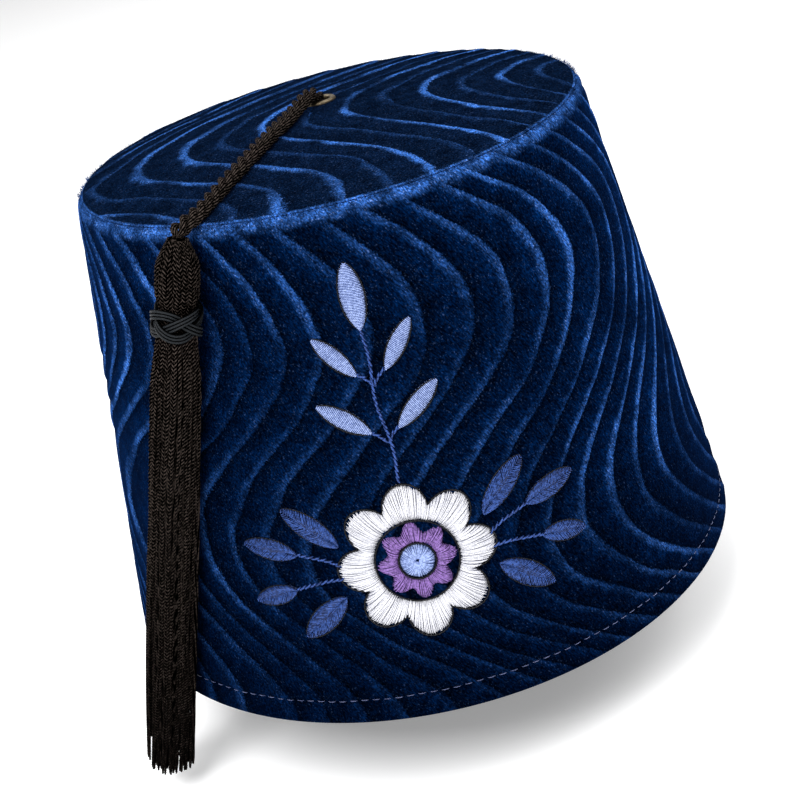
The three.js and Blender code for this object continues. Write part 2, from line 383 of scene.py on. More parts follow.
def fit(piece: bpy.types.Object, node: str | None = None) -> bpy.types.Object:
    """Puts a piece on the hat's one body.

    Args:
        piece: The piece.
        node: The plain node that it stands in for, if any.

    Returns:
        The same piece.
    """
    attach(piece, "root")
    if node:
        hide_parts(node)
    return piece


# Finishes

Socket = bpy.types.NodeSocket


@dataclass
class NodeBench:
    """Makes and links the nodes of one tree."""

    tree: bpy.types.NodeTree

    def node(self, kind: str, settings: dict | None = None, **inputs: object) -> bpy.types.Node:
        """Adds a node.

        Args:
            kind: The node's type name after "ShaderNode".
            settings: Attributes to set on the node.
            inputs: A socket or a value for each input, keyed by its name with
                underscores for spaces, or by its number after an underscore.

        Returns:
            The new node.
        """
        made = self.tree.nodes.new("ShaderNode" + kind)
        for key, value in (settings or {}).items():
            setattr(made, key, value)
        for key, value in inputs.items():
            number = key[1:]
            at = int(number) if number.isdigit() else key.replace("_", " ")
            self.feed(made.inputs[at], value)
        return made

    def feed(self, socket: Socket, value: object) -> None:
        """Links a socket to another, or sets its own value.

        Args:
            socket: The input.
            value: A socket, or the value of an unlinked input.
        """
        if isinstance(value, Socket):
            self.tree.links.new(value, socket)
        else:
            socket.default_value = value

    def set(self, node: bpy.types.Node, **inputs: object) -> None:
        """Feeds a node's inputs, whose names have underscores for spaces."""
        for key, value in inputs.items():
            self.feed(node.inputs[key.replace("_", " ")], value)

    def bump(self, height: Socket, distance: float, strength: float = 1.0) -> Socket:
        """The normal, bumped by a height."""
        made = self.node("Bump", None, Strength=strength, Distance=distance, Height=height)
        return made.outputs["Normal"]

    def math(self, operation: str, *values: object) -> Socket:
        """Output of a Math node on one to three values."""
        inputs = {f"_{i}": value for i, value in enumerate(values)}
        return self.node("Math", {"operation": operation}, **inputs).outputs[0]

    def ramp(self, value: Socket, stops: Sequence[tuple[float, float]]) -> Socket:
        """A grey value read off straight lines between stops.

        Args:
            value: What is read, held to 0 to 1.
            stops: Places and levels, in order.

        Returns:
            The level's socket.
        """
        made = self.node("ValToRGB", None, Fac=value)
        elements = made.color_ramp.elements
        for place, _ in stops[2:]:
            elements.new(place)
        for element, (place, level) in zip(elements, stops):
            element.position = place
            element.color = (level, level, level, 1)
        return made.outputs["Color"]

    def ranged(self, value: object, low: object, high: object, start: float = 0.0,
               end: float = 1.0) -> Socket:
        """Smooth step of a value, held past its ends.

        Args:
            value: What is read.
            low: Where the step starts. It may be the higher of the two.
            high: Where the step ends.
            start: The level at low.
            end: The level at high.

        Returns:
            The level's socket.
        """
        made = self.node("MapRange", {"interpolation_type": "SMOOTHSTEP"}, Value=value,
                         From_Min=low, From_Max=high, To_Min=start, To_Max=end)
        return made.outputs["Result"]

    def noise(self, place: Socket, scale: float | Socket, detail: float = 2) -> Socket:
        """Noise of about 0 to 1 with `scale` cells to the metre."""
        made = self.node("TexNoise", None, Vector=place, Scale=scale, Detail=detail)
        return made.outputs["Fac"]

    def mixed(self, share: object, low: object, high: object, blend: str = "MIX") -> Socket:
        """Two colours mixed by a share."""
        settings = {"data_type": "RGBA", "blend_type": blend}
        return self.node("Mix", settings, _0=share, _6=low, _7=high).outputs[2]


Rgb = tuple[float, float, float]


def rgba(color: Rgb) -> tuple[float, float, float, float]:
    """A colour with full alpha."""
    return (*color, 1.0)


def new_group(name: str, inputs: dict[str, str], outputs: dict[str, str]) -> bpy.types.NodeTree:
    """A shader node group with named sockets.

    Args:
        name: The group's name.
        inputs: Socket kinds, as in "Float", by name.
        outputs: The same for the outputs.

    Returns:
        The group's node tree.
    """
    tree = bpy.data.node_groups.new(name, "ShaderNodeTree")
    for direction, sockets in (("INPUT", inputs), ("OUTPUT", outputs)):
        for label, kind in sockets.items():
            tree.interface.new_socket(label, in_out=direction, socket_type="NodeSocket" + kind)
    return tree


@dataclass
class Groups:
    """Effects that several materials share, each a node group made once.

    Fields that end in cells are noise cells to the metre.
    """

    made: dict[str, bpy.types.NodeTree] = field(default_factory=dict)
    drift_cells: float = 45
    broad_cells: float = 260
    blotch_cells: float = 900
    glint_cells: float = 1500
    tuft_cells: float = 2100
    spark_cells: float = 2400
    fibre_cells: float = 2600
    rough_cells: float = 4200
    fibre_lean: float = -0.55
    fibre_stretch: float = 2.7
    mean_wander: float = 1.3
    crest_full: float = 0.9
    crest_drop: float = 0.93
    bare_level: float = 0.4
    level_by_strength: float = 0.65
    sparks_on_crest: float = 0.72
    sparks_anywhere: float = 0.045
    # Painted shade towards the low end: full at the first height, gone at the second, and the share of the
    # velvet's colour that is left at the low end
    shade_full_at: float = -0.03
    shade_gone_at: float = 0.1
    velvet_shaded_level: float = 0.55
    seam_full: float = 0.0004

    def use(self, bench: NodeBench, name: str, **inputs: object) -> bpy.types.Node:
        """Places a group in a material.

        Args:
            bench: The material's bench.
            name: The method that makes the group.
            inputs: Its inputs, with underscores for spaces.

        Returns:
            The group's node.
        """
        if name not in self.made:
            self.made[name] = getattr(self, name)()
        made = bench.tree.nodes.new("ShaderNodeGroup")
        made.node_tree = self.made[name]
        bench.set(made, **inputs)
        return made

    def pile(self) -> bpy.types.NodeTree:
        """Waved pile of velvet.

        The map's first number counts waves, and its second is the wave's strength.
        The count is made ragged by noise, and its fraction reads a profile that
        climbs slowly from a dark valley to a crest and drops at once. The crest's
        light colour is painted sheen on the pile's own waves, and painted glints of
        single tufts break it up. A painted highlight runs along the top seam, and
        painted shade darkens the pile towards the hem.

        Returns:
            The group's node tree.
        """
        tree = new_group(
            "velvet pile",
            {"Map": "Vector", "Place": "Vector", "Valley": "Color", "Slope": "Color",
             "Crest": "Color", "Tips": "Color", "Ragged": "Float", "Foot": "Float",
             "Seam": "Vector", "Fuzz": "Float"},
            {"Color": "Color", "Height": "Float"},
        )
        bench = NodeBench(tree)
        given = tree.nodes.new("NodeGroupInput").outputs
        result = tree.nodes.new("NodeGroupOutput").inputs
        place = given["Place"]
        wave = bench.node("SeparateXYZ", None, Vector=given["Map"]).outputs
        level = bench.node("SeparateXYZ", None, Vector=place).outputs["Z"]
        broad = bench.noise(place, self.broad_cells, 3)
        tuft = bench.noise(place, self.tuft_cells, 1.5)
        drift = bench.noise(place, self.drift_cells, 1)
        # Strength of each wave, which comes and goes along it
        swell = bench.ramp(drift, [(0.38, 0.25), (0.6, 1.12)])
        strength = bench.math("MULTIPLY", wave["Y"], swell)
        wander = bench.math("MULTIPLY_ADD", tuft, 0.5, bench.math("MULTIPLY", broad, 0.5))
        wander = bench.math("MULTIPLY_ADD", drift, 1.6, wander)
        wander = bench.math("SUBTRACT", wander, self.mean_wander)
        wander = bench.math("MULTIPLY", wander, given["Ragged"])
        count = bench.math("FRACT", bench.math("ADD", wave["X"], wander))
        # Crest light, which is painted sheen, and a painted highlight along the seam, where the pile turns
        # up
        rise = bench.ranged(count, given["Foot"], self.crest_full)
        fall = bench.ranged(count, 1.0, self.crest_drop)
        crest = bench.math("MULTIPLY", bench.math("MULTIPLY", rise, fall), strength)
        uneven_glow = bench.ramp(broad, [(0.35, 0.3), (0.65, 0.85)])
        fuzz_glow = bench.math("MULTIPLY", self.near_seam(bench, given, level), uneven_glow)
        crest = bench.math("MAXIMUM", crest, fuzz_glow)
        # The slow climb from the valley
        climb = bench.ramp(count, [(0, 0), (0.1, 0.16), (0.5, 0.6), (0.9, 1), (0.97, 0.6), (1, 0)])
        # The wave's strength, which carries painted light, sheen and shade, lifts the slope's colour
        pressed = bench.math("MULTIPLY_ADD", strength, self.level_by_strength, self.bare_level)
        climb = bench.math("MULTIPLY", climb, pressed)
        low = bench.mixed(climb, given["Valley"], given["Slope"])
        lit = bench.mixed(crest, low, given["Crest"])
        # Single tufts that catch the light
        spark = bench.ramp(bench.noise(place, self.spark_cells, 0), [(0.66, 0), (0.8, 1)])
        often = bench.math("MULTIPLY_ADD", crest, self.sparks_on_crest, self.sparks_anywhere)
        lit = bench.mixed(bench.math("MULTIPLY", spark, often), lit, given["Tips"])
        # Grain of leaning fibres, with painted shade that darkens the pile towards the hem
        lean = bench.node(
            "Mapping", {"vector_type": "TEXTURE"}, Vector=place,
            Rotation=(0, self.fibre_lean, 0), Scale=(1, 1, self.fibre_stretch),
        ).outputs["Vector"]
        fibre = bench.noise(lean, self.fibre_cells, 1)
        fibre = bench.ramp(fibre, [(0.3, 0.25), (0.5, 0.85), (0.7, 2.1)])
        grain = bench.math("MULTIPLY", bench.ramp(broad, [(0.3, 0.6), (0.7, 1.35)]), fibre)
        painted_low_shade = bench.ranged(level, self.shade_full_at, self.shade_gone_at, self.velvet_shaded_level, 1.0)
        grain = bench.math("MULTIPLY", grain, painted_low_shade)
        bench.feed(result["Color"], bench.mixed(1.0, lit, grain, "MULTIPLY"))
        bench.feed(result["Height"], tuft)
        return tree

    def near_seam(self, bench: NodeBench, given: bpy.types.bpy_prop_collection,
                  level: Socket) -> Socket:
        """How close a place is to the top edge.

        It is a smooth step of the distance from (radius, height) to the seam's ring.

        Args:
            bench: The group's bench.
            given: The group's input sockets.
            level: The place's height.

        Returns:
            A socket that is 1 at the seam and 0 past the painted highlight's width.
        """
        flat = bench.node("VectorMath", {"operation": "MULTIPLY"}, _0=given["Place"], _1=(1, 1, 0))
        radius = bench.node("VectorMath", {"operation": "LENGTH"}, _0=flat.outputs["Vector"])
        section = bench.node("CombineXYZ", None, X=radius.outputs["Value"], Y=level)
        gap = bench.node("VectorMath", {"operation": "DISTANCE"}, _0=section.outputs["Vector"],
                         _1=given["Seam"])
        return bench.ranged(gap.outputs["Value"], given["Fuzz"], self.seam_full)

    def yarn(self) -> bpy.types.NodeTree:
        """Filaments of a yarn, laid round it at a slant.

        The map's first number is twice the body's number plus the share round the
        yarn, and its second the distance along it. Cosine ridges wind round the yarn,
        with painted shade in the grooves between them. Each body has a tone of its
        own, and patches of painted glint break the ridges up. Painted shade darkens
        the yarn towards the low end.

        Returns:
            The group's node tree.
        """
        tree = new_group(
            "yarn filaments",
            {"Map": "Vector", "Place": "Vector", "Dark": "Color", "Light": "Color",
             "Ridges": "Float", "Turns": "Float", "Groove": "Float", "Faded": "Float",
             "Patchy": "Float"},
            {"Color": "Color", "Height": "Float"},
        )
        bench = NodeBench(tree)
        given = tree.nodes.new("NodeGroupInput").outputs
        result = tree.nodes.new("NodeGroupOutput").inputs
        place, even = given["Place"], rgba((1, 1, 1))
        lay = bench.node("SeparateXYZ", None, Vector=given["Map"]).outputs
        level = bench.node("SeparateXYZ", None, Vector=place).outputs["Z"]
        around = bench.math("MULTIPLY_ADD", lay["Y"], given["Turns"], lay["X"])
        phase = bench.math("MULTIPLY", bench.math("MULTIPLY", around, given["Ridges"]), TURN)
        ridge = bench.math("MULTIPLY_ADD", bench.math("COSINE", phase), 0.5, 0.5)
        # Tone of each body, from its number and a slow noise
        body = bench.math("FLOOR", bench.math("MULTIPLY", lay["X"], 0.5))
        tone = bench.node("TexWhiteNoise", {"noise_dimensions": "1D"}, W=body).outputs["Value"]
        blotch = bench.math("MULTIPLY_ADD", bench.noise(place, self.blotch_cells, 2), 0.4, 0.4)
        tone = bench.math("MULTIPLY_ADD", tone, 0.4, blotch)
        rough = bench.noise(place, self.rough_cells, 1)
        shade = bench.math("MULTIPLY", bench.ramp(rough, [(0.3, 0.35), (0.7, 1.5)]), tone)
        # Painted shade in the grooves, painted glints, and painted shade towards the low end, each a
        # factor on the shade
        cut = bench.mixed(given["Groove"], even, bench.ramp(ridge, [(0.42, 0), (1, 1.8)]))
        glint = bench.noise(place, self.glint_cells, 2)
        glint = bench.ramp(glint, [(0.4, 0.12), (0.52, 0.7), (0.7, 3)])
        glint = bench.mixed(given["Patchy"], even, glint)
        painted_low_shade = bench.ranged(level, self.shade_full_at, self.shade_gone_at, given["Faded"], 1.0)
        for factor in (cut, glint, painted_low_shade):
            shade = bench.math("MULTIPLY", shade, factor)
        bench.feed(result["Color"], bench.mixed(shade, given["Dark"], given["Light"]))
        bench.feed(result["Height"], bench.math("MULTIPLY_ADD", rough, 0.4, ridge))
        return tree


GROUPS = Groups()
# Radius and height of the ring where the pile turns up at the top edge, along which a highlight is painted
SEAM = (0.0708, 0.1349, 0.0)


def new_material(name: str) -> tuple[bpy.types.Material, NodeBench, bpy.types.Node]:
    """A node material, its bench and its Principled shader.

    Args:
        name: The material's name.

    Returns:
        The material, the bench of its nodes, and the shader.
    """
    material = bpy.data.materials.new(name)
    material.use_nodes = True
    bench = NodeBench(material.node_tree)
    return material, bench, material.node_tree.nodes["Principled BSDF"]


@dataclass(frozen=True)
class Velvet:
    """Velvet whose pile is pressed into waves that follow the piece's map."""

    name: str = "blue wave velvet"
    valley: Rgb = (0.0001, 0.0016, 0.0065)
    slope: Rgb = (0.0002, 0.0112, 0.057)
    # The crest colour is painted sheen, the colour after it that of painted glints, and the width after
    # the foot that of a painted highlight along the top seam
    crest: Rgb = (0.031, 0.118, 0.42)
    tip_glint: Rgb = (0.2, 0.3, 0.6)
    foot: float = 0.65
    fuzz_glow: float = 0.0042
    ragged: float = 0.3
    relief: float = 0.0002
    roughness: float = 0.9
    sheen: float = 0.04
    sheen_roughness: float = 0.35
    sheen_tint: Rgb = (0.08, 0.25, 1)

    def material(self) -> bpy.types.Material:
        """The cloth's node material.

        Returns:
            The material.
        """
        material, bench, shader = new_material(self.name)
        place = bench.node("TexCoord").outputs
        pile = GROUPS.use(
            bench, "pile", Map=place["UV"], Place=place["Object"], Valley=rgba(self.valley),
            Slope=rgba(self.slope), Crest=rgba(self.crest), Tips=rgba(self.tip_glint),
            Ragged=self.ragged, Foot=self.foot, Seam=SEAM, Fuzz=self.fuzz_glow,
        )
        bench.set(
            shader, Base_Color=pile.outputs["Color"],
            Normal=bench.bump(pile.outputs["Height"], self.relief),
            Roughness=self.roughness, Specular_IOR_Level=0.0, Sheen_Weight=self.sheen,
            Sheen_Roughness=self.sheen_roughness, Sheen_Tint=rgba(self.sheen_tint),
        )
        return material


@dataclass(frozen=True)
class Yarn:
    """A yarn, thread or cord of filaments."""

    name: str
    dark: Rgb
    light: Rgb
    ridges: float = 6
    turns: float = 625.0
    # The next three set painted shade in the grooves, painted shade towards the low end, and the share of
    # painted glints
    groove: float = 0.35
    low_end_shade: float = 1.0
    patchy: float = 0.0
    roughness: float = 0.45
    specular: float = 0.25
    relief: float = 0.0001

    def material(self) -> bpy.types.Material:
        """The yarn's node material.

        Returns:
            The material.
        """
        material, bench, shader = new_material(self.name)
        place = bench.node("TexCoord").outputs
        yarn = GROUPS.use(
            bench, "yarn", Map=place["UV"], Place=place["Object"], Dark=rgba(self.dark),
            Light=rgba(self.light), Ridges=self.ridges, Turns=self.turns, Groove=self.groove,
            Faded=self.low_end_shade, Patchy=self.patchy,
        )
        bench.set(
            shader, Base_Color=yarn.outputs["Color"],
            Normal=bench.bump(yarn.outputs["Height"], self.relief),
            Roughness=self.roughness, Specular_IOR_Level=self.specular,
        )
        return material


@dataclass(frozen=True)
class Felt:
    """Stiff felt inside the crown, with matted fibres and lint."""

    name: str = "crown felt"
    dark: Rgb = (0.004, 0.005, 0.012)
    light: Rgb = (0.014, 0.017, 0.035)
    fibre_cells: float = 700
    relief: float = 0.0003
    roughness: float = 0.95
    specular: float = 0.1

    def material(self) -> bpy.types.Material:
        """The felt's node material.

        Returns:
            The material.
        """
        material, bench, shader = new_material(self.name)
        place = bench.node("TexCoord").outputs["Object"]
        matted = bench.noise(place, self.fibre_cells, 4)
        shade = bench.ramp(matted, [(0.3, 0), (0.7, 1)])
        bench.set(
            shader, Base_Color=bench.mixed(shade, rgba(self.dark), rgba(self.light)),
            Normal=bench.bump(matted, self.relief, 0.7),
            Roughness=self.roughness, Specular_IOR_Level=self.specular,
        )
        return material


@dataclass(frozen=True)
class Brass:
    """Dull rolled brass, with fine scratches and tarnish in noise patches."""

    name: str = "dull brass"
    bright: Rgb = (0.22, 0.18, 0.12)
    tarnish: Rgb = (0.08, 0.062, 0.04)
    stain_cells: float = 450
    scratch_cells: float = 3000
    relief: float = 0.00008

    def material(self) -> bpy.types.Material:
        """The metal's node material.

        Returns:
            The material.
        """
        material, bench, shader = new_material(self.name)
        place = bench.node("TexCoord").outputs["Object"]
        stain = bench.ramp(bench.noise(place, self.stain_cells, 4), [(0.35, 0), (0.65, 1)])
        scratch = bench.noise(place, self.scratch_cells, 2)
        bench.set(
            shader, Base_Color=bench.mixed(stain, rgba(self.bright), rgba(self.tarnish)),
            Roughness=bench.math("MULTIPLY_ADD", scratch, 0.3, 0.25),
            Normal=bench.bump(scratch, self.relief, 0.4), Metallic=1.0,
        )
        return material


@dataclass(frozen=True)
class Paper:
    """Plain pale paper for the floor, lit a little from behind."""

    name: str = "pale paper"
    color: Rgb = (0.93, 0.93, 0.935)
    glow: float = 0.26
    roughness: float = 0.9
    specular: float = 0.1

    def material(self) -> bpy.types.Material:
        """The floor's material.

        Returns:
            The material.
        """
        material, bench, shader = new_material(self.name)
        bench.set(
            shader, Base_Color=rgba(self.color), Roughness=self.roughness,
            Specular_IOR_Level=self.specular, Emission_Color=rgba((1, 1, 1)),
            Emission_Strength=self.glow,
        )
        return material


# The crown's own form, which the other sub-assemblies lie on


@dataclass(frozen=True)
class CrownForm:
    """The stiff crown: a cone of felt with a slightly domed top."""

    rim_radius: float = 0.0925
    top_radius: float = 0.0713
    height: float = 0.135
    dome_rise: float = 0.006
    wall: float = 0.0026
    edge_round: float = 0.0024
    eyelet_set_back: float = 0.008

    def radius(self, z: Array | float) -> Array | float:
        """Outer radius of the felt wall, falling evenly with height."""
        return lerp(self.rim_radius, self.top_radius, z / self.height)

    def dome(self, x: Array, y: Array) -> Array:
        """Height of the top: the edge's height plus a paraboloid of the dome's rise."""
        return self.height + self.dome_rise * (1 - (x**2 + y**2) / self.top_radius**2)

    def beside(self, angle: Array, z: Array, off: Array | float) -> Array:
        """Points off the wall: angle from the front in radians, height, distance out."""
        return polar(self.radius(z) + off, angle, z)


@dataclass(frozen=True)
class Waves:
    """The waves pressed in the velvet, counted from the dark foot of one to the next.

    On the wall a wave is an S: its crest line leaves its place at belt height by a
    raised cosine, up and down alike, more and more towards the sides. Its place at
    the belt and its strength come from a short table, repeated past its ends. On the
    top the same waves swing in x by a raised cosine of y. On the wall the waves are
    made stronger near the top edge and away from the calm middle, and faint low
    down: this raises or lowers the relief there, and it is also painted light from
    above, painted sheen towards the sides and painted shade low down.
    """

    belt: float = 0.105
    rounds: int = 6
    straight_at: float = -15
    calm_at: float = -8
    swing: Step = Step(-30, 80, 10.5, 20)
    above: float = 0.058
    below: Step = Step(-30, 60, 0.052, 0.068)
    # Stronger waves near the top edge and towards the sides, and fainter ones low down: painted light from
    # above, painted sheen and painted shade, which also set the relief's height
    pressed_and_lit_up: Step = Step(0.098, 0.13, 0.16, 0.5)
    pressed_and_sheen_aside: Step = Step(20, 58, 0, 0.78)
    faint_and_shaded_low: Step = Step(0.005, 0.06, 0.5, 1)
    # Angle at the belt in degrees, strength
    wall_crests: tuple[tuple[float, float], ...] = (
        (-86, 0.9), (-78, 0.5), (-70, 0.9), (-63.5, 0.5), (-57, 0.9), (-49, 0.5), (-41, 0.9),
        (-31, 0.6), (-25, 0.35), (-18.5, 0.9), (-11, 0.75), (-2, 0.5), (8, 0.7), (17.5, 0.8),
        (26, 0.9), (36, 0.75), (43.8, 0.8), (52.5, 0.6), (60, 1), (67.5, 0.65), (75, 1),
        (82, 0.6), (90, 1),
    )
    top_belt: float = -0.007
    top_swing: tuple[float, float] = (0.0195, 0.03)
    top_length: tuple[float, float] = (0.118, 0.15)
    # Place in x at the belt, strength
    top_crests: tuple[tuple[float, float], ...] = (
        (-0.101, 0.7), (-0.089, 0.15), (-0.0775, 0.6), (-0.066, 0.15), (-0.0545, 0.8), (-0.039, 0.6),
        (-0.0275, 0.12), (-0.0167, 1), (-0.005, 0.12), (0.006, 1), (0.0175, 0.12), (0.029, 0.95),
        (0.04, 0.12), (0.051, 0.85), (0.062, 0.15), (0.073, 0.7),
    )
    crest_at: float = 0.88

    def counted(self, place: Array, table: Sequence[tuple[float, float]]) -> tuple[Array, Array]:
        """Wave count and strength at belt places.

        The count runs straight between a table's crests, and goes on past its ends at
        their mean spacing, with the strengths repeated.

        Args:
            place: Where the wave stands at the belt, in the table's units.
            table: Crest places and strengths.

        Returns:
            The counts and the strengths.
        """
        rows = np.array(table)
        span = rows[-1, 0] - rows[0, 0]
        number = len(rows) - 1
        lap = np.floor((place - rows[0, 0]) / span)
        within = place - lap * span
        count = np.interp(within, rows[:, 0], np.arange(len(rows))) + lap * number
        strength = rows[np.mod(np.floor(count + self.crest_at), number).astype(int), 1]
        return count + self.crest_at, strength

    def on_wall(self, angle: Array, z: Array) -> tuple[Array, Array]:
        """Wave count and strength on the wall.

        The swing depends on the place at the belt, so that place is found in rounds.

        Args:
            angle: Angles from the front, in degrees.
            z: Heights.

        Returns:
            The counts and the strengths.
        """
        belt_angle = angle
        for _ in range(self.rounds):
            swing = self.swing.at(np.abs(belt_angle - self.straight_at))
            reach = np.where(z > self.belt, self.above, self.below.at(belt_angle))
            belt_angle = angle + swing * (1 - np.cos(np.pi * (z - self.belt) / reach))
        count, strength = self.counted(belt_angle, self.wall_crests)
        # Painted light near the top edge, painted sheen towards the sides and painted shade low down,
        # which also raise or lower the relief
        pressed = self.pressed_and_lit_up.at(z) + self.pressed_and_sheen_aside.at(np.abs(angle - self.calm_at))
        # Every crest comes and goes along its length
        sway = 0.85 + 0.25 * np.sin(1.9 * count + 55 * z)
        return count, strength * np.clip(pressed * sway, 0, 1) * self.faint_and_shaded_low.at(z)

    def on_top(self, x: Array, y: Array) -> tuple[Array, Array]:
        """Wave count and strength on the top, whose pairs of sizes are front and back.

        Args:
            x: Places to the right.
            y: Places to the back.

        Returns:
            The counts and the strengths.
        """
        beyond = y - self.top_belt
        swing, length = (
            np.where(beyond > 0, back, front) for front, back in (self.top_swing, self.top_length)
        )
        place = x - swing * (1 - np.cos(TURN * beyond / length))
        count, strength = self.counted(place, self.top_crests)
        return count, strength * (0.85 + 0.15 * np.sin(1.7 * count + 60 * y))

    def relief(self, count: Array, strength: Array) -> Array:
        """Height of the pile from 0 to 1: a slow climb to the crest and a quick fall.

        Args:
            count: Wave counts.
            strength: Wave strengths.

        Returns:
            The heights.
        """
        share = np.mod(count, 1)
        climb = smooth(0.15, self.crest_at, share) * (1 - smooth(self.crest_at, 1.0, share))
        return climb * (0.5 + 0.5 * strength)


@dataclass
class VelvetCover:
    """The velvet skin of the crown: a wall with a turned-in hem, and a top.

    A place on the cloth's section is a pair of a radius and a height. A groove is a
    pair of a depth and a half width.
    """

    form: CrownForm
    waves: Waves
    columns: int = 480
    wall_rows: int = 138
    top_rows: int = 84
    thickness: float = 0.00045
    clearance: float = 0.0001
    relief: float = 0.00055
    shoulder: float = 0.1305
    shoulder_bend: tuple[float, float] = (0.07195, 0.1345)
    seam: tuple[float, float] = (0.07072, 0.13492)
    wall_tuck: tuple[tuple[float, float], ...] = ((0.07155, 0.1335), (0.07056, 0.13474))
    top_tuck: tuple[tuple[float, float], ...] = ((0.07055, 0.13484), (0.06995, 0.13515))
    back_groove: tuple[float, float] = (0.0007, 0.0009)
    foot: float = 0.0012
    rim_centre: float = 0.0011
    hem: float = 0.008
    hem_stitch: float = 0.0065
    hem_groove: tuple[float, float] = (0.0004, 0.0008)
    stitch_pitch: float = 0.0031
    stitch_half_length: float = 0.001
    stitch_half_width: float = 0.00013
    stitch_arch: float = 0.00022
    stitch_sunk: float = 0.00012
    hole: float = 0.0043
    rolled_degrees: tuple[float, ...] = (14, 26, 36, 43)
    tufts: int = 2800
    tuft_spread: tuple[float, float] = (-0.0004, 0.0009)
    tuft_length: tuple[float, float] = (0.0006, 0.0017)
    tuft_widths: tuple[float, ...] = (0.00006, 0.00004, 0.00001)

    def face_off(self) -> float:
        """How far the cloth's face lies off the felt."""
        return self.clearance + self.thickness

    def wall_face(self) -> Array:
        """Section of the wall's outer face, as (radius, height) rows.

        It leaves the seam at the top edge on a quadratic bend, and comes straight
        down the wall.

        Returns:
            The rows, shaped (n, 2).
        """
        off = self.face_off()
        level = np.linspace(self.shoulder, self.foot, self.wall_rows)
        t = np.linspace(0, 1, 9)[:-1, None]
        end = np.array([self.form.radius(self.shoulder) + off, self.shoulder])
        bend = (1 - t) ** 2 * np.array(self.seam) + 2 * t * (1 - t) * np.array(self.shoulder_bend)
        return np.vstack([bend + t**2 * end, stacked(self.form.radius(level) + off, level)])

    def wall_rows_round(self) -> Array:
        """The wall's whole section: its face, the hem turned under the rim, and its back.

        Returns:
            The (radius, height) rows, which close in a loop.
        """
        form = self.form
        half = form.wall / 2
        middle = form.rim_radius - half
        arc = np.linspace(0, np.pi, 12)[1:-1]
        outer = half + self.thickness + 2 * self.clearance
        inner = outer - self.thickness * 0.6
        under, over = (
            stacked(middle + r * np.cos(arc), self.rim_centre - r * np.sin(arc))
            for r in (outer, inner)
        )
        rise = np.linspace(self.rim_centre, self.hem, 8)
        lining = form.radius(rise) - form.wall - self.clearance
        climb = np.linspace(self.foot, self.shoulder, 10)
        return np.vstack([
            self.wall_face(), under, stacked(lining - self.thickness, rise),
            stacked(lining, rise)[::-1], over[::-1],
            stacked(form.radius(climb) + self.clearance, climb), self.wall_tuck,
        ])

    def wall_shell(self) -> Shell:
        """The wall's cloth as one closed shell with the pile's relief on its face.

        Each row of the section is a ring. A point of the face is lifted square to the
        wall by the relief times the waves' height, less two grooves of the form
        depth exp(-(distance / width)^2), at the back seam and under the hem's stitches.

        Returns:
            The shell, whose map holds the wave counts and strengths.
        """
        rows = self.wall_rows_round()
        radius, height = rows[:, :1], rows[:, 1:]
        face = len(self.wall_face())
        angle = np.linspace(-180, 180, self.columns + 1)
        count, strength = self.waves.on_wall(angle[None, :], height)
        lift = self.relief * self.waves.relief(count, strength)
        from_seam = (180 - np.abs(angle)) * np.pi / 180 * radius
        for distance, (depth, width) in (
            (from_seam, self.back_groove), (height - self.hem_stitch, self.hem_groove)
        ):
            lift = lift - depth * np.exp(-((distance / width) ** 2))
        seen = np.zeros((len(rows), 1))
        seen[:face, 0] = smooth(0, 6, np.arange(face))
        lift = lift * seen
        out, up = unit(np.array([self.form.height, self.form.rim_radius - self.form.top_radius]))
        points = polar((radius + out * lift)[:, :-1], np.radians(angle)[None, :-1],
                       (height + up * lift)[:, :-1])
        return Shell.from_grid(points, stacked(count, strength), closed=True)

    def top_shell(self) -> Shell:
        """The top's cloth as one closed shell, from the eyelet's hole to the seam.

        A ring is a circle on the dome: its radius grows evenly from the hole to the
        edge, while its middle slides evenly from the eyelet to the centre. Past the
        edge the rings roll down on a circular arc and tuck into the seam.

        Returns:
            The shell, whose map holds the wave counts and strengths.
        """
        form = self.form
        flat = form.top_radius - form.edge_round
        turn = np.radians(np.linspace(-180, 180, self.columns * 3 // 4 + 1))[None, :]

        def level(share: Array, off: float) -> Array:
            """Rings between the hole and the edge, at a distance above the dome.

            Args:
                share: Shares of the way out, shaped (rings, 1).
                off: The distance.

            Returns:
                The points, shaped (rings, columns, 3).
            """
            x, y, _ = np.moveaxis(polar(lerp(self.hole, flat, share), turn, 0), -1, 0)
            y = y + form.eyelet_set_back * (1 - share)
            return stacked(x, y, form.dome(x, y) + off)

        off = self.face_off()
        bend = np.radians(self.rolled_degrees)[:, None]
        round_it = form.edge_round + off * 0.7
        crown = float(form.dome(np.array(flat), np.array(0.0))) + off
        upper = level(np.linspace(0, 1, self.top_rows)[:, None], off)
        rolled = polar(flat + round_it * np.sin(bend), turn, crown - round_it * (1 - np.cos(bend)))
        tucked = [polar(radius, turn, height) for radius, height in self.top_tuck]
        lower = level(np.linspace(0.985, 0, 9)[:, None], self.clearance)
        rows = np.concatenate([upper, rolled, *tucked, lower])
        count, strength = self.waves.on_top(rows[..., 0], rows[..., 1])
        number = np.arange(len(rows))[:, None]
        face = len(upper) + len(rolled)
        seen = smooth(0, 4, number) * (1 - smooth(face - 5, face - 1, number))
        rows[..., 2] += self.relief * 0.8 * self.waves.relief(count, strength) * seen
        return Shell.from_grid(rows[:, :-1], stacked(count, strength), closed=True)

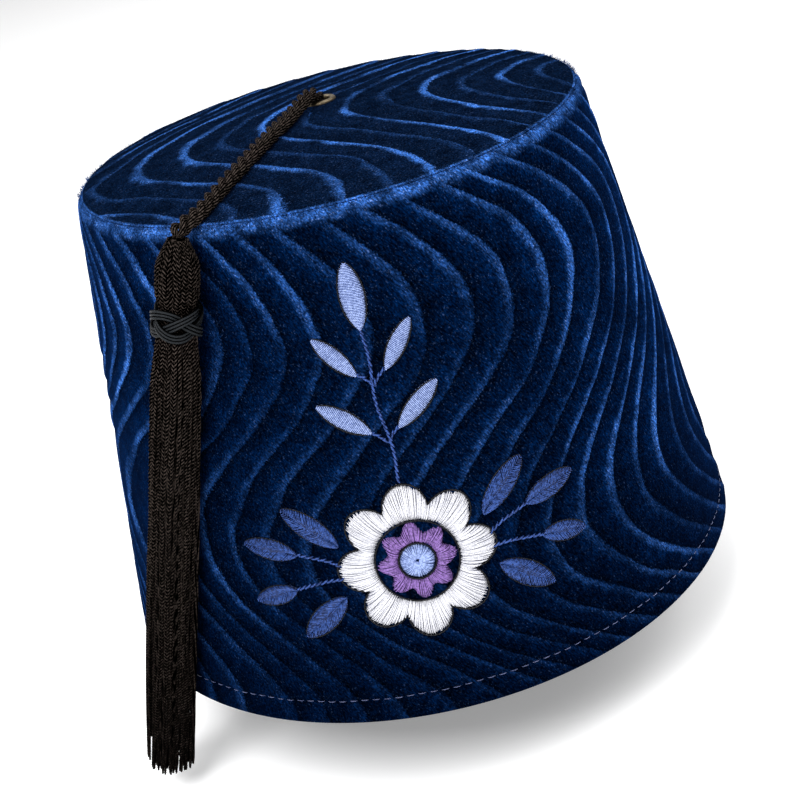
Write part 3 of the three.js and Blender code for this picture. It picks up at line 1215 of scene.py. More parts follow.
    def seam_fuzz(self, rng: np.random.Generator) -> Shell:
        """Pile that stands out of the seam at the top edge, as slim three-sided tufts.

        A tuft is a straight line from its foot, along out cos(tilt) + up sin(tilt) and
        a little sideways.

        Args:
            rng: Scatters and tilts the tufts.

        Returns:
            The tufts.
        """
        number = self.tufts
        turn = rng.uniform(0, TURN, number)
        r = self.seam[0] + rng.uniform(*self.tuft_spread, number)
        foot = polar(r, turn, self.seam[1] + self.clearance - 0.7 * np.maximum(r - self.seam[0], 0))
        out, up = polar(1.0, turn, 0.0), np.array([0, 0, 1.0])
        tilt = rng.uniform(0.1, 1.7, (number, 1))
        sway = rng.normal(0.25, 0.4, (number, 1)) * np.cross(out, up)
        way = unit(out * np.cos(tilt) + up * np.sin(tilt) + sway)
        length = rng.uniform(*self.tuft_length, (number, 1))
        path = foot[:, None] + way[:, None] * (length * np.linspace(0, 1, 3))[..., None]
        width = np.array(self.tuft_widths)[None]
        return swept(path, np.cross(way, [0.3, 0.2, 1.0])[:, None], width, width, 3)

    def hem_stitches(self) -> Shell:
        """The running stitch round the hem: short dashes that dip into the pile.

        A dash's height over the cloth is arch (1 - t^4) - sunk, as t goes from -1 to 1.

        Returns:
            The stitches.
        """
        radius = self.form.radius(self.hem_stitch)
        number = int(TURN * radius / self.stitch_pitch)
        middle = np.arange(number)[:, None] * TURN / number + 0.004
        t = np.linspace(-1, 1, 7)[None]
        off = self.face_off() + self.stitch_arch * (1 - t**4) - self.stitch_sunk
        z = self.hem_stitch + 0.0001 * np.sin(37 * middle) + 0 * t
        path = self.form.beside(middle + t * self.stitch_half_length / radius, z, off)
        width = self.stitch_half_width * (1 - 0.5 * t**4)
        return swept(path, np.array([0, 0, 1.0]), width, 0.7 * width, 6)

    def build(self, finish: Velvet) -> list[bpy.types.Object]:
        """Args:
            finish: The wall's velvet.

        Returns:
            The pieces.
        """
        wall = self.wall_shell().put("velvet_wall", finish.material())
        # The top's velvet is a darker copy of the wall's, which paints shade on the top, with a narrower
        # painted highlight at its seam
        shaded_top_velvet = replace(
            finish, name="blue wave velvet, shaded top", valley=(0.0011, 0.0042, 0.0142),
            slope=(0.0017, 0.0065, 0.023), foot=0.68, fuzz_glow=0.001, ragged=0.42, sheen=0.0,
        )
        top = self.top_shell().put("velvet_top", shaded_top_velvet.material())
        # The tufts at the seam have painted glints
        pile = Yarn("seam pile", (0.0005, 0.006, 0.03), (0.05, 0.17, 0.55), groove=0.0,
                    patchy=0.8, roughness=0.8, specular=0.0)
        fuzz_glow = self.seam_fuzz(np.random.default_rng(7)).put("seam_pile", pile.material())
        thread = Yarn("hem thread", (0.04, 0.06, 0.18), (0.19, 0.22, 0.4), groove=0.0)
        stitches = self.hem_stitches().put("hem_stitches", thread.material())
        for piece in (wall, top, fuzz_glow):
            fit(piece)
        fit(stitches)
        return [wall, top, fuzz_glow, stitches]


# Stitching


@dataclass(frozen=True)
class Stitching:
    """The ground that stitches lie on: the front of the wall, and its thread's size."""

    form: CrownForm
    spray_angle: float = np.radians(-3)
    ground: float = 0.0006
    sunk: float = 0.00035
    half_thread: float = 0.00021

    def on_wall(self, flat: Array, off: Array | float) -> Array:
        """Wraps flat (across, up) places of the spray round the wall.

        Args:
            flat: The places, shaped (..., 2).
            off: Their distance off the felt.

        Returns:
            The points, shaped (..., 3).
        """
        z = flat[..., 1]
        angle = self.spray_angle + flat[..., 0] / self.form.radius(z)
        return self.form.beside(angle, z, off)

    def threads(self, start: Array, end: Array, crest: float, half: float | None = None,
                rounds: float = 4, steps: int = 7, base: float = 0.0) -> Shell:
        """Stitches from start to end places, arched over the ground.

        A stitch's height is base + crest (1 - |2t - 1|^rounds), t running from 0 to 1.

        Args:
            start: Flat places where the thread comes up, shaped (n, 2).
            end: Flat places where it goes down.
            crest: Height of the arch.
            half: Half the thread's width.
            rounds: How flat the arch's middle is.
            steps: Rings along a stitch.
            base: Height at its ends.

        Returns:
            The stitches.
        """
        half = half or self.half_thread
        t = np.linspace(0, 1, steps)
        flat = lerp(start[:, None], end[:, None], t[None, :, None])
        arch = 1 - np.abs(2 * t - 1) ** rounds
        path = self.on_wall(flat, self.ground + base + crest * arch)
        along = path[:, -1:] - path[:, :1]
        out = unit(path[:, steps // 2] * np.array([1, 1, 0]))[:, None]
        width = half * (1 - 0.45 * np.abs(2 * t - 1) ** 6)[None]
        return swept(path, np.cross(along, out), 0.62 * width, width, 8, np.pi / 2)

    def pad(self, outer: Array, hole: Array | None, crest: float) -> Shell:
        """The raised ground under a satin stitch.

        Rings run from the hole, or the middle, to the outline. A holed pad rises as
        the sine of half a turn between its edges, another as a quarter's cosine.

        Args:
            outer: The outline's flat places, shaped (n, 2).
            hole: The hole's places, or None.
            crest: The pad's height.

        Returns:
            The pad.
        """
        share = np.linspace(0, 1, 8)[:, None]
        middle = outer.mean(axis=0)
        inner = middle + 0.04 * (outer - middle) if hole is None else hole
        rise = np.cos(share * np.pi / 2) if hole is None else np.sin(share * np.pi)
        flat = lerp(inner[None], outer[None], share[..., None])
        upper = self.on_wall(flat, self.ground + crest * rise)
        under = self.on_wall(flat[::-1], self.ground - self.sunk)
        rings = np.concatenate([upper, under])
        uv = grid_map(len(outer), 4, len(rings), 0.02)
        return Shell.from_grid(rings, uv, closed=hole is not None)

    def line(self, flat: Array, stitch: float, half: float, slant: float = 0.35,
             base: float = 0.0) -> Shell:
        """A line of stem stitch: slanted stitches that overlap along a path.

        Args:
            flat: The line's places, shaped (n, 2).
            stitch: Length of a stitch.
            half: Half the thread's width.
            slant: Sideways reach of a stitch, in thread widths.
            base: Height of the stitches' ends.

        Returns:
            The stitches.
        """
        along = path_length(flat)
        number = max(3, int(round(1.45 * along[-1] / stitch)))
        centre = (np.arange(number) + 0.5) / number * along[-1]

        def place(at: Array) -> Array:
            """The line's places at distances along it."""
            return stacked(*(np.interp(at, along, flat[:, axis]) for axis in range(2)))

        ends = []
        for reach in (-0.5, 0.5):
            at = np.clip(centre + reach * stitch, 0, along[-1])
            ahead, behind = (np.clip(at + step, 0, along[-1]) for step in (1e-4, -1e-4))
            way = place(ahead) - place(behind)
            across = unit(stacked(-way[:, 1], way[:, 0]))
            ends.append(place(at) + across * reach * 2 * slant * half)
        return self.threads(ends[0], ends[1], 1.3 * half, half, rounds=2.5, steps=6, base=base)


def ring(angle: Array, radius: Array | float) -> Array:
    """Flat places at angles and a distance from the middle."""
    return stacked(radius * np.cos(angle), radius * np.sin(angle))


def petalled(tip: float, notch: float, count: int, sharpness: float) -> Outline:
    """Outline of petals: the radius swings from notch to tip as |cos(count a / 2)|."""
    return lambda a: ring(a, lerp(notch, tip, np.abs(np.cos(a * count / 2)) ** sharpness))


def circle(radius: float) -> Outline:
    """Outline of a circle."""
    return lambda a: ring(a, radius)


def shiny_thread(shade: str, dark: Rgb, light: Rgb, patchy: float = 0.0) -> bpy.types.Material:
    """A shiny thread, with a painted highlight on its top and painted shade at its sides.

    Args:
        shade: The thread's plain colour name.
        dark: Colour in its grooves, where shade is painted.
        light: Colour on its top, where a highlight is painted.
        patchy: Share of broken glints.

    Returns:
        The thread's material.
    """
    return Yarn(f"{shade} thread", dark, light, ridges=2, turns=0, groove=0.75, patchy=patchy,
                roughness=0.42, specular=0.2).material()


@dataclass(frozen=True)
class Leaf:
    """A leaf or bud of the spray, by its middle, the way it points and its size."""

    node: str
    across: float
    z: float
    turn: float
    length: float
    width: float
    slot: Slot

    def mirrored(self, node: str) -> "Leaf":
        """The same leaf on the other side of the middle line."""
        return Leaf(node, -self.across, self.z, 180 - self.turn, self.length, self.width, self.slot)

    def placed(self, local: Array) -> Array:
        """Places along and across the leaf, turned and moved to its middle.

        Args:
            local: The places, shaped (..., 2).

        Returns:
            The spray's flat places, in the same shape.
        """
        spin = np.radians(self.turn)
        x, y = local[..., 0], local[..., 1]
        return stacked(
            self.across + x * np.cos(spin) - y * np.sin(spin),
            self.z + x * np.sin(spin) + y * np.cos(spin),
        )

    def half_width(self, along: Array) -> Array:
        """Half the width at a share -1 to 1 of half the length: sin(a)^1.35 of an oval."""
        return self.width / 2 * np.clip(1 - along**2, 0, 1) ** 0.675

    def outline(self, count: int = 72) -> Array:
        """The leaf's outline in flat places.

        Args:
            count: How many places it has.

        Returns:
            The places, shaped (count, 2).
        """
        a = np.linspace(0, TURN, count, endpoint=False)
        along = np.cos(a)
        local = stacked(self.length / 2 * along, np.sign(np.sin(a)) * self.half_width(along))
        return self.placed(local)


@dataclass
class FlowerSpray:
    """The stitched flower, leaves, buds, stems and outlines on the front."""

    ground: Stitching
    height: float = 0.043
    petals: int = 8
    petal_tip: float = 0.0205
    petal_notch: float = 0.0145
    petal_root: float = 0.0109
    star_tip: float = 0.0104
    star_notch: float = 0.0076
    star_root: float = 0.0049
    button: float = 0.0045
    pinhole: float = 0.0003
    leaf_crest: float = 0.001
    # Name, place across, height, turn in degrees, length, width, whether mirrored, slot
    leaves: tuple[tuple[str, float, float, float, float, float, bool, Slot], ...] = (
        ("leaf_inner", 0.0255, 0.056, 40, 0.017, 0.0064, True, Slot.BLUE),
        ("leaf_outer", 0.038, 0.0505, 12, 0.015, 0.0058, True, Slot.BLUE),
        ("leaf_low", 0.027, 0.031, -38, 0.017, 0.0064, True, Slot.BLUE),
        ("leaf_end", 0.0395, 0.0375, -14, 0.013, 0.0052, True, Slot.BLUE),
        ("sprig_low", 0.0094, 0.083, 38, 0.015, 0.005, True, Slot.LIGHT_BLUE),
        ("sprig_top", 0.008, 0.099, 52, 0.014, 0.0046, True, Slot.LIGHT_BLUE),
        ("bud", 0, 0.113, 90, 0.017, 0.0064, False, Slot.LIGHT_BLUE),
    )

    def rows(self) -> list[Leaf]:
        """Every leaf, with the mirrored ones on both sides.

        Returns:
            The leaves, right before left.
        """
        every = []
        for name, across, z, turn, length, width, mirror, slot in self.leaves:
            if mirror:
                right = Leaf(f"{name}_right", across, z, turn, length, width, slot)
                every += [right, right.mirrored(f"{name}_left")]
            else:
                every.append(Leaf(name, across, z, turn, length, width, slot))
        return every

    def centred(self, flat: Array) -> Array:
        """Places measured from the flower's middle, moved to the spray's own."""
        return flat + np.array([0, self.height])

    def satin_ring(self, outer: Outline, inner: Outline, crest: float, number: int,
                   rng: np.random.Generator) -> Shell:
        """Satin stitches that run outwards between two closed outlines.

        Stitch k goes from inner(a) to outer(a) at the angle a = k turns / number, each
        end a little off by a random angle and reach.

        Args:
            outer: The outline where they end.
            inner: The outline where they start.
            crest: Height of their arch.
            number: How many there are.
            rng: Sets them a little out of step.

        Returns:
            The stitches and the pad under them.
        """
        a = np.linspace(0, TURN, number, endpoint=False)
        wobble = rng.normal(0, 0.4 * TURN / number, (2, number))
        start = self.centred(inner(a + wobble[0]) * rng.uniform(0.985, 1.03, (number, 1)))
        end = self.centred(outer(a + wobble[1]) * rng.uniform(0.985, 1.025, (number, 1)))
        around = np.linspace(0, TURN, 160, endpoint=False)
        pad = self.ground.pad(self.centred(outer(around)), self.centred(inner(around)), crest * 0.8)
        threads = self.ground.threads(start, end, crest, rounds=2.6)
        return Shell.joined([pad, threads])

    def satin_leaf(self, leaf: Leaf, rng: np.random.Generator) -> Shell:
        """A leaf in satin stitch.

        A blue leaf is fishbone: stitches slant out from the midrib on both sides. A
        light one is stitched straight across. A stitch reaches the leaf's half width
        at its own place along the leaf.

        Args:
            leaf: The leaf.
            rng: Varies the stitches' reach.

        Returns:
            The stitches and the pad under them.
        """
        gap = 1.9 * self.ground.half_thread
        number = int(leaf.length / gap)
        along = np.linspace(-0.97, 0.97, number)
        crest = self.leaf_crest
        pad = self.ground.pad(leaf.outline(), None, crest * 0.8)
        half = leaf.half_width(along) * rng.uniform(0.96, 1.08, number)
        place = leaf.length / 2 * along
        if leaf.slot is Slot.LIGHT_BLUE:
            slant = 0.12 * half
            start = leaf.placed(stacked(place - slant, -half))
            end = leaf.placed(stacked(place + slant, half))
            return Shell.joined([pad, self.ground.threads(start, end, crest, rounds=2.4)])
        shells = [pad]
        for sign in (-1, 1):
            root = leaf.placed(stacked(place - 0.9 * half, -0.05 * sign * half))
            tip = leaf.placed(stacked(place, sign * half))
            shells.append(self.ground.threads(root, tip, crest * 0.75, rounds=3, base=0.00012))
        return Shell.joined(shells)

    def curve(self, *points: tuple[float, float]) -> Array:
        """A smooth line through given flat places."""
        solid = np.array([(x, y, 0.0) for x, y in points])
        return catmull_rom(solid, 12)[:, :2]

    def stems(self) -> list[Array]:
        """Middle lines of the stems, on both sides of the spray.

        Returns:
            The lines, each shaped (n, 2).
        """
        right = [
            self.curve((0.0192, 0.0445), (0.0225, 0.0465), (0.0268, 0.0478), (0.0316, 0.0491)),
            self.curve((0.0195, 0.0412), (0.0235, 0.0411), (0.0285, 0.0402), (0.034, 0.0389)),
            self.curve((0.0, 0.0748), (0.0011, 0.0767), (0.0044, 0.0791)),
            self.curve((0.0, 0.0897), (0.001, 0.0917), (0.0046, 0.0945)),
        ]
        left = [line * np.array([-1, 1]) for line in right]
        spine = self.curve((0, 0.064), (0.0008, 0.074), (-0.0006, 0.086), (0.0004, 0.097), (0, 0.105))
        return [spine, *right, *left]

    def outlines(self, shapes: Sequence[Outline]) -> Shell:
        """Lines of stem stitch along closed outlines and round every leaf.

        Args:
            shapes: The flower's outlines.

        Returns:
            The stitches.
        """
        closed = np.linspace(0, TURN, 241)
        lines = [(self.centred(shape(closed)), 0.00024) for shape in shapes]
        for leaf in self.rows():
            around = leaf.outline(90)
            lines.append((np.vstack([around, around[:1]]), 0.00022))
        return Shell.joined([self.ground.line(line, 0.0016, half, base=0.0001) for line, half in lines])

    def build(self) -> list[bpy.types.Object]:
        """Builds every stitched piece in place of its plain pad.

        Returns:
            The pieces.
        """
        rng = np.random.default_rng(11)
        white = shiny_thread("white", (0.26, 0.27, 0.34), (0.84, 0.84, 0.88))
        violet = shiny_thread("violet", (0.02, 0.008, 0.05), (0.3, 0.17, 0.5), 0.5)
        light = shiny_thread("light blue", (0.04, 0.075, 0.24), (0.36, 0.46, 0.8), 0.5)
        blue = shiny_thread("blue", (0.001, 0.004, 0.03), (0.036, 0.088, 0.32), 0.75)
        black = shiny_thread("black", (0.0006, 0.0006, 0.001), (0.006, 0.006, 0.008))
        finishes = {Slot.BLUE: blue, Slot.LIGHT_BLUE: light}
        petals = petalled(self.petal_tip, self.petal_notch, self.petals, 0.7)
        star = petalled(self.star_tip, self.star_notch, self.petals, 1.6)
        root, star_root = circle(self.petal_root), circle(self.star_root)
        made = []
        for name, outer, inner, crest, number, finish, slot in (
            ("flower_petals", petals, root, 0.0011, 310, white, Slot.WHITE),
            ("flower_star", star, star_root, 0.001, 150, violet, Slot.VIOLET),
            ("flower_button", circle(self.button), circle(self.pinhole), 0.0009, 76, light,
             Slot.LIGHT_BLUE),
        ):
            made.append((name, self.satin_ring(outer, inner, crest, number, rng), finish, slot))
        for leaf in self.rows():
            made.append((leaf.node, self.satin_leaf(leaf, rng), finishes[leaf.slot], leaf.slot))
        pieces = [
            fit(shell.put("stitched_" + node, finish), node)
            for node, shell, finish, slot in made
        ]
        edges = self.outlines([
            lambda a: petals(a) * 1.018, lambda a: root(a) * 0.99, lambda a: star_root(a) * 0.985,
        ])
        stems = Shell.joined([self.ground.line(line, 0.0024, 0.00034, slant=1.1) for line in self.stems()])
        pieces.append(fit(edges.put("stitched_outlines", black)))
        pieces.append(fit(stems.put("stitched_stems", blue)))
        return pieces


# Eyelet, cord and tassel


@dataclass
class Eyelet:
    """A rolled metal eyelet in the top, square to the dome where it sits."""

    form: CrownForm
    flange: float = 0.005
    bore: float = 0.0033
    barrel: float = 0.0041
    low: float = -0.0036
    columns: int = 96

    def section(self) -> Array:
        """Closed section of (radius, height) rows: rolled flanges joined by a barrel.

        Returns:
            The rows.
        """
        a = np.linspace(-0.35, np.pi, 15)
        middle, reach = (self.bore + self.flange) / 2, (self.flange - self.bore) / 2
        upper = stacked(middle + reach * np.cos(a), 0.00055 + 0.00085 * np.sin(a))
        lower = stacked(middle - reach * np.cos(a), self.low - 0.0005 * np.sin(a))
        barrel = [[self.barrel, self.low + 0.0005], [self.barrel, 0.0001]]
        return np.vstack([upper, lower, barrel])

    def build(self) -> bpy.types.Object:
        """Builds the eyelet in place of its plain node.

        Its section is turned round its axis, which leans by arctan(2 rise y / radius^2),
        the dome's slope at its place y behind the middle.

        Returns:
            The piece.
        """
        rows = self.section()[:, None]
        turn = np.linspace(0, TURN, self.columns, endpoint=False)[None]
        back = self.form.eyelet_set_back
        tilt = np.arctan(2 * self.form.dome_rise * back / self.form.top_radius**2)
        x, y = rows[..., 0] * np.cos(turn), rows[..., 0] * np.sin(turn)
        z = rows[..., 1] + 0 * turn
        dome = float(self.form.dome(np.array(0.0), np.array(back)))
        points = stacked(
            x, back + y * np.cos(tilt) + z * np.sin(tilt), dome - y * np.sin(tilt) + z * np.cos(tilt)
        )
        shell = Shell.from_grid(points, grid_map(self.columns, 1, len(rows), 1), closed=True)
        return fit(shell.put("rolled_eyelet", Brass().material()), "eyelet")


# Black yarn without specular: its light colour on the ridges and in broken glints is painted highlight,
# and the dark grooves and low end are painted shade
BLACK = Yarn(
    "black rayon", (0.0002, 0.0002, 0.0002), (0.058, 0.045, 0.039), ridges=2, turns=0, groove=1.0,
    low_end_shade=0.22, patchy=1.0, roughness=0.6, specular=0.0, relief=0.00006,
)


@dataclass
class Cord:
    """The twisted cord of three plies, from the knot in the crown to the tassel."""

    route: tuple[tuple[float, float, float], ...] = (
        (0, 0.008, 0.1367), (0, 0.008, 0.1394), (-0.0001, 0.0078, 0.1422), (-0.0013, 0.0054, 0.1442),
        (-0.0036, 0.0011, 0.1447), (-0.0064, -0.0044, 0.144), (-0.0102, -0.0124, 0.1433),
        (-0.0146, -0.0216, 0.1429), (-0.019, -0.0306, 0.1422), (-0.0234, -0.0388, 0.1412),
        (-0.0278, -0.0466, 0.1401), (-0.0314, -0.0528, 0.139), (-0.0344, -0.0576, 0.1381),
        (-0.0371, -0.0617, 0.1376), (-0.0394, -0.0644, 0.1372), (-0.0409, -0.0661, 0.1364),
        (-0.0414, -0.06665, 0.1352),
    )
    diameter: float = 0.0042
    plies: int = 3
    pitch: float = 0.0114
    rings: int = 420
    sides: int = 36
    yarns: int = 9
    yarn_lay: float = 0.0011
    yarn_bump: float = 0.08
    ply_share: float = 0.2535
    loop_from_end: float = 0.003
    loop_half: float = 0.0012
    knot_middle: tuple[float, float] = (0.008, 0.1316)
    knot_wide: float = 0.00115
    knot_deep: float = 0.0024
    knot_radius: float = 0.0019

    def path(self) -> Array:
        """The centre line at equal distances."""
        return evenly(catmull_rom(np.array(self.route), 24), self.rings)

    def shell(self) -> Shell:
        """Three plies wound round the centre line, parted in a small loop at its end.

        A ply's centre stands off the line by about a quarter of the diameter and turns
        once in each pitch. Its section is a circle with a bump for each yarn, and the
        bumps wind round the ply once in each yarn lay times the yarns.

        Returns:
            The plies.
        """
        path = self.path()
        side, lift = frames_along(path, np.array([0.88, -0.475, 0.0]))
        s = path_length(path)
        left = s[-1] - s
        parted = np.exp(-(((left - self.loop_from_end) / self.loop_half) ** 2))
        pinch = 1 - smooth(0.0002, 0.0014, left)
        ply_radius = self.diameter * self.ply_share
        stand = ply_radius * (1.07 - 0.55 * pinch + 0.35 * parted)
        size = ply_radius * (0.94 - 0.28 * pinch - 0.08 * parted)
        a = np.linspace(0, TURN, self.sides, endpoint=False)
        bumps = np.cos(self.yarns * a[None] - TURN * s[:, None] / self.yarn_lay)
        radius = size[:, None] * (1 + self.yarn_bump * bumps)
        plies = []
        for ply in range(self.plies):
            wind = -TURN * (s / self.pitch + ply / self.plies)[:, None]
            centre = path + stand[:, None] * (np.cos(wind) * side + np.sin(wind) * lift)
            plies.append(sections(centre, side, lift, radius, a))
        uv = stacked(np.linspace(0, 1, self.sides + 1)[None], s[:, None])
        return Shell.from_grid(np.stack(plies), uv)

    def knot(self) -> Shell:
        """The stopper under the top: a trefoil of the same cord, flattened a little.

        Its line is ((2 + cos 3t) cos 2t, (2 + cos 3t) sin 2t, sin 3t), scaled.

        Returns:
            The knot.
        """
        t = np.linspace(0, TURN, 160, endpoint=False)
        back, level = self.knot_middle
        reach = self.knot_wide * (2 + np.cos(3 * t))
        line = stacked(reach * np.cos(2 * t), back + reach * np.sin(2 * t),
                       level + self.knot_deep * np.sin(3 * t))
        tangent = loop_tangent(line)
        side = unit(np.cross(tangent, [0.0, 0.0, 1.0]))
        a = np.linspace(0, TURN, 18, endpoint=False)
        radius = self.knot_radius * (1 + 0.09 * np.cos(3 * a[None] + 20 * t[:, None]))
        points = sections(line, side, np.cross(tangent, side), radius, a)
        return Shell.from_grid(points, grid_map(len(a), 1, len(t), 0.06), closed=True)

    def build(self, on_it: list[bpy.types.Object]) -> list[bpy.types.Object]:
        """Args:
            on_it: The pieces at the cord's end. Not used.

        Returns:
            The cord and its knot.
        """
        turns = -1 / (self.yarn_lay * self.yarns)
        # The cord keeps the black yarn's painted highlights and shade
        yarn = replace(BLACK, name="black cord", ridges=self.yarns, turns=turns).material()
        cord = fit(self.shell().put("twisted_cord", yarn), "tassel_cord")
        knot = fit(self.knot().put("stopper_knot", yarn), "cord_stopper")
        return [cord, knot]


@dataclass(frozen=True)
class Layer:
    """Strands of the skirt, by their angles round it, their drawing and their size.

    The layer's width is the skirt's times `shrink`. A section has its long half width
    `half` and its short one `slim` times that.
    """

    places: Array
    shrink: float
    rings: int
    sides: int
    slim: float
    half: float


@dataclass
class Tassel:
    """The tassel: a head of folded yarns, a plaited band and a skirt of twisted strands."""

    form: CrownForm
    standoff: float = 0.0072
    top: float = 0.1345
    angle_at_top: float = -32.0
    drift: float = 182.7
    head_bottom: float = 0.1094
    band_centre: float = 0.115
    skirt_top: float = 0.1129
    head_strands: int = 40
    skirt_strands: int = 44
    inner_strands: int = 26
    hidden_below: float = -0.4
    strand_pitch: float = 0.0021
    parting: float = 1.32
    core_radius: float = 0.0041
    core_foot: float = -0.012
    band_radius: float = 0.0057
    band_half_height: float = 0.0029
    band_half_depth: float = 0.00062
    band_lane: float = 0.00084
    band_cord: float = 0.00043
    band_start: float = 1.55
    # Place to the side, height of the cut ends
    locks: tuple[tuple[float, float], ...] = (
        (-0.0074, -0.019), (-0.0042, -0.022), (0.0002, -0.0228), (0.0042, -0.0216), (0.0072, -0.0206),
    )

    def axis(self, z: Array) -> Array:
        """The tassel's middle line by height."""
        angle = np.radians(self.angle_at_top - self.drift * (self.top - z))
        return self.form.beside(angle, z, self.standoff)

    def frame(self, z: Array) -> tuple[Array, Array, Array]:
        """The tassel's frame at heights.

        Args:
            z: The heights.

        Returns:
            Its origins, and its unit vectors to the side and outwards.
        """
        origin = self.axis(z)
        down = unit(self.axis(z - 0.001) - self.axis(z + 0.001))
        out = unit(origin * np.array([1, 1, 0]))
        side = unit(np.cross(out, down))
        return origin, side, np.cross(down, side)

    def at(self, z: Array, sideways: Array, outwards: Array) -> Array:
        """Points beside the tassel's middle line."""
        origin, side, out = self.frame(z)
        return origin + sideways[..., None] * side + outwards[..., None] * out

    def strands(self, z: Array, sideways: Array, outwards: Array, half: Array, slim: float,
                sides: int, rng: np.random.Generator) -> Shell:
        """Two-ply strands: an oval section that turns once in each pitch.

        The turns are left or right, at a pitch that varies a little.

        Args:
            z: Heights, shaped (strands, rings).
            sideways: Places across the tassel, in the same shape.
            outwards: Places away from the wall.
            half: Half the strand's width.
            slim: The oval's short side as a share of its long one.
            sides: Points round the section.
            rng: Gives each strand its own hand, pitch and start.

        Returns:
            The strands.
        """
        path = self.at(z, sideways, outwards)
        _, side, _ = self.frame(z)
        steps = np.linalg.norm(np.diff(path, axis=1), axis=-1)
        along = np.concatenate([np.zeros((len(path), 1)), steps.cumsum(axis=1)], axis=1)
        each = (len(path), 1)
        hand = rng.choice([-1, 1], each, p=[0.3, 0.7]) * rng.uniform(0.88, 1.12, each)
        spin = TURN * (hand * along / self.strand_pitch + rng.uniform(0, 1, each))
        half = np.broadcast_to(half, z.shape)
        return swept(path, side, half, half * slim, sides, spin)

    def head_radius(self, z: Array) -> Array:
        """Radius of the head: pinched at the cord, full, and drawn in at the band.

        Args:
            z: Heights.

        Returns:
            The radii.
        """
        below = self.top - z
        full = 0.0019 + 0.0033 * smooth(-0.002, 0.0072, below) ** 0.75
        return full - 0.001 * smooth(0.0125, 0.0165, below)

    def head(self, rng: np.random.Generator) -> Shell:
        """The head's yarns, which run down it side by side, with a dark parting.

        A yarn's place is (r cos a, r sin a), with the head's radius r at its height and
        an angle a that sways by a sine of the height. Yarns at the parting sink by
        exp(-(angle / width)^2).

        Args:
            rng: Sways the yarns.

        Returns:
            The yarns and the filling under them.
        """
        number = self.head_strands
        each = (number, 1)
        z = np.linspace(self.top + 0.0006, self.head_bottom, 110)[None]
        round_it = np.arange(number)[:, None] * TURN / number
        from_parting = np.mod(round_it - self.parting + np.pi, TURN) - np.pi
        sunk = 1 - 0.09 * np.exp(-((from_parting / 0.14) ** 2))
        r = self.head_radius(z) * sunk + 0.00012 * rng.normal(0, 1, each)
        angle = round_it + 0.035 * np.sin(z * 420 + rng.uniform(0, TURN, each))
        half = np.clip(0.6 * TURN * r / number, 0.0003, 0.00052)
        yarns = self.strands(z + 0 * angle, r * np.cos(angle), r * np.sin(angle), half, 0.62, 8, rng)
        core_z = np.linspace(self.top, self.head_bottom, 24)
        return Shell.joined([yarns, self.core(core_z, 0.86 * self.head_radius(core_z))])

    def core(self, z: Array, radius: Array) -> Shell:
        """A round filling along the middle line, which closes the gaps between strands."""
        return swept(self.at(z, 0 * z, 0 * z), self.frame(z)[1], radius, radius, 14)

    def skirt(self, rng: np.random.Generator) -> Shell:
        """The skirt's strands, gathered in locks towards their cut ends.

        Args:
            rng: Sways and cuts the strands.

        Returns:
            The strands and the filling between them.
        """
        around = np.arange(self.skirt_strands) * TURN / self.skirt_strands
        hidden = np.sin(around) < self.hidden_below
        inner = np.arange(self.inner_strands) * TURN / self.inner_strands
        layers = [
            Layer(around[~hidden], 1.0, 420, 6, 0.68, 0.00043),
            Layer(around[hidden], 1.0, 60, 5, 1.0, 0.00043),
            Layer(inner, 0.7, 60, 5, 1.0, 0.00085),
        ]
        core_z = np.linspace(self.skirt_top, self.core_foot, 30)
        core = self.core(core_z, self.core_radius + 0 * core_z)
        return Shell.joined([*(self.layer(rows, rng) for rows in layers), core])

    def layer(self, made: Layer, rng: np.random.Generator) -> Shell:
        """One layer of the skirt's strands.

        At a share t of its length a strand's place is (wide cos a, deep sin a). Both
        grow by a smooth step of t, and the width evenly with t too. Near the cut end a
        strand is drawn towards the middle of its nearest lock.

        Args:
            made: The layer.
            rng: Sways and cuts its strands.

        Returns:
            The strands.
        """
        each = (len(made.places), 1)
        share = np.linspace(0, 1, made.rings)[None]

        def waver(slow: float, fast: float) -> Array:
            """A sine down each strand, with its own rate and start."""
            return np.sin(share * rng.uniform(slow, fast, each) + rng.uniform(0, TURN, each))

        angle = made.places[:, None] + rng.normal(0, 0.03, each)
        turn = angle + 0.06 * waver(4, 11) * smooth(0, 0.25, share)
        spread = smooth(0, 0.12, share)
        bulge = made.shrink * (1 + 0.05 * waver(3, 9))
        sideways = bulge * (0.0048 + 0.0011 * spread + 0.0023 * share) * np.cos(turn)
        outwards = bulge * (0.0047 + 0.0009 * spread) * np.sin(turn)
        rows = np.array(self.locks)
        foot = 0.0084 * made.shrink * np.cos(angle)
        lock = np.abs(foot - rows[None, :, 0]).argmin(axis=1)
        tip = rows[lock, 1] + rng.uniform(-0.0004, 0.0006, len(lock))
        sideways = lerp(sideways, rows[lock, 0][:, None], 0.3 * smooth(0.86, 1, share))
        z = lerp(self.skirt_top, tip[:, None], share)
        half = made.half * (1 - 0.25 * smooth(0.992, 1, share))
        return self.strands(z, sideways, outwards, half, made.slim, made.sides, rng)

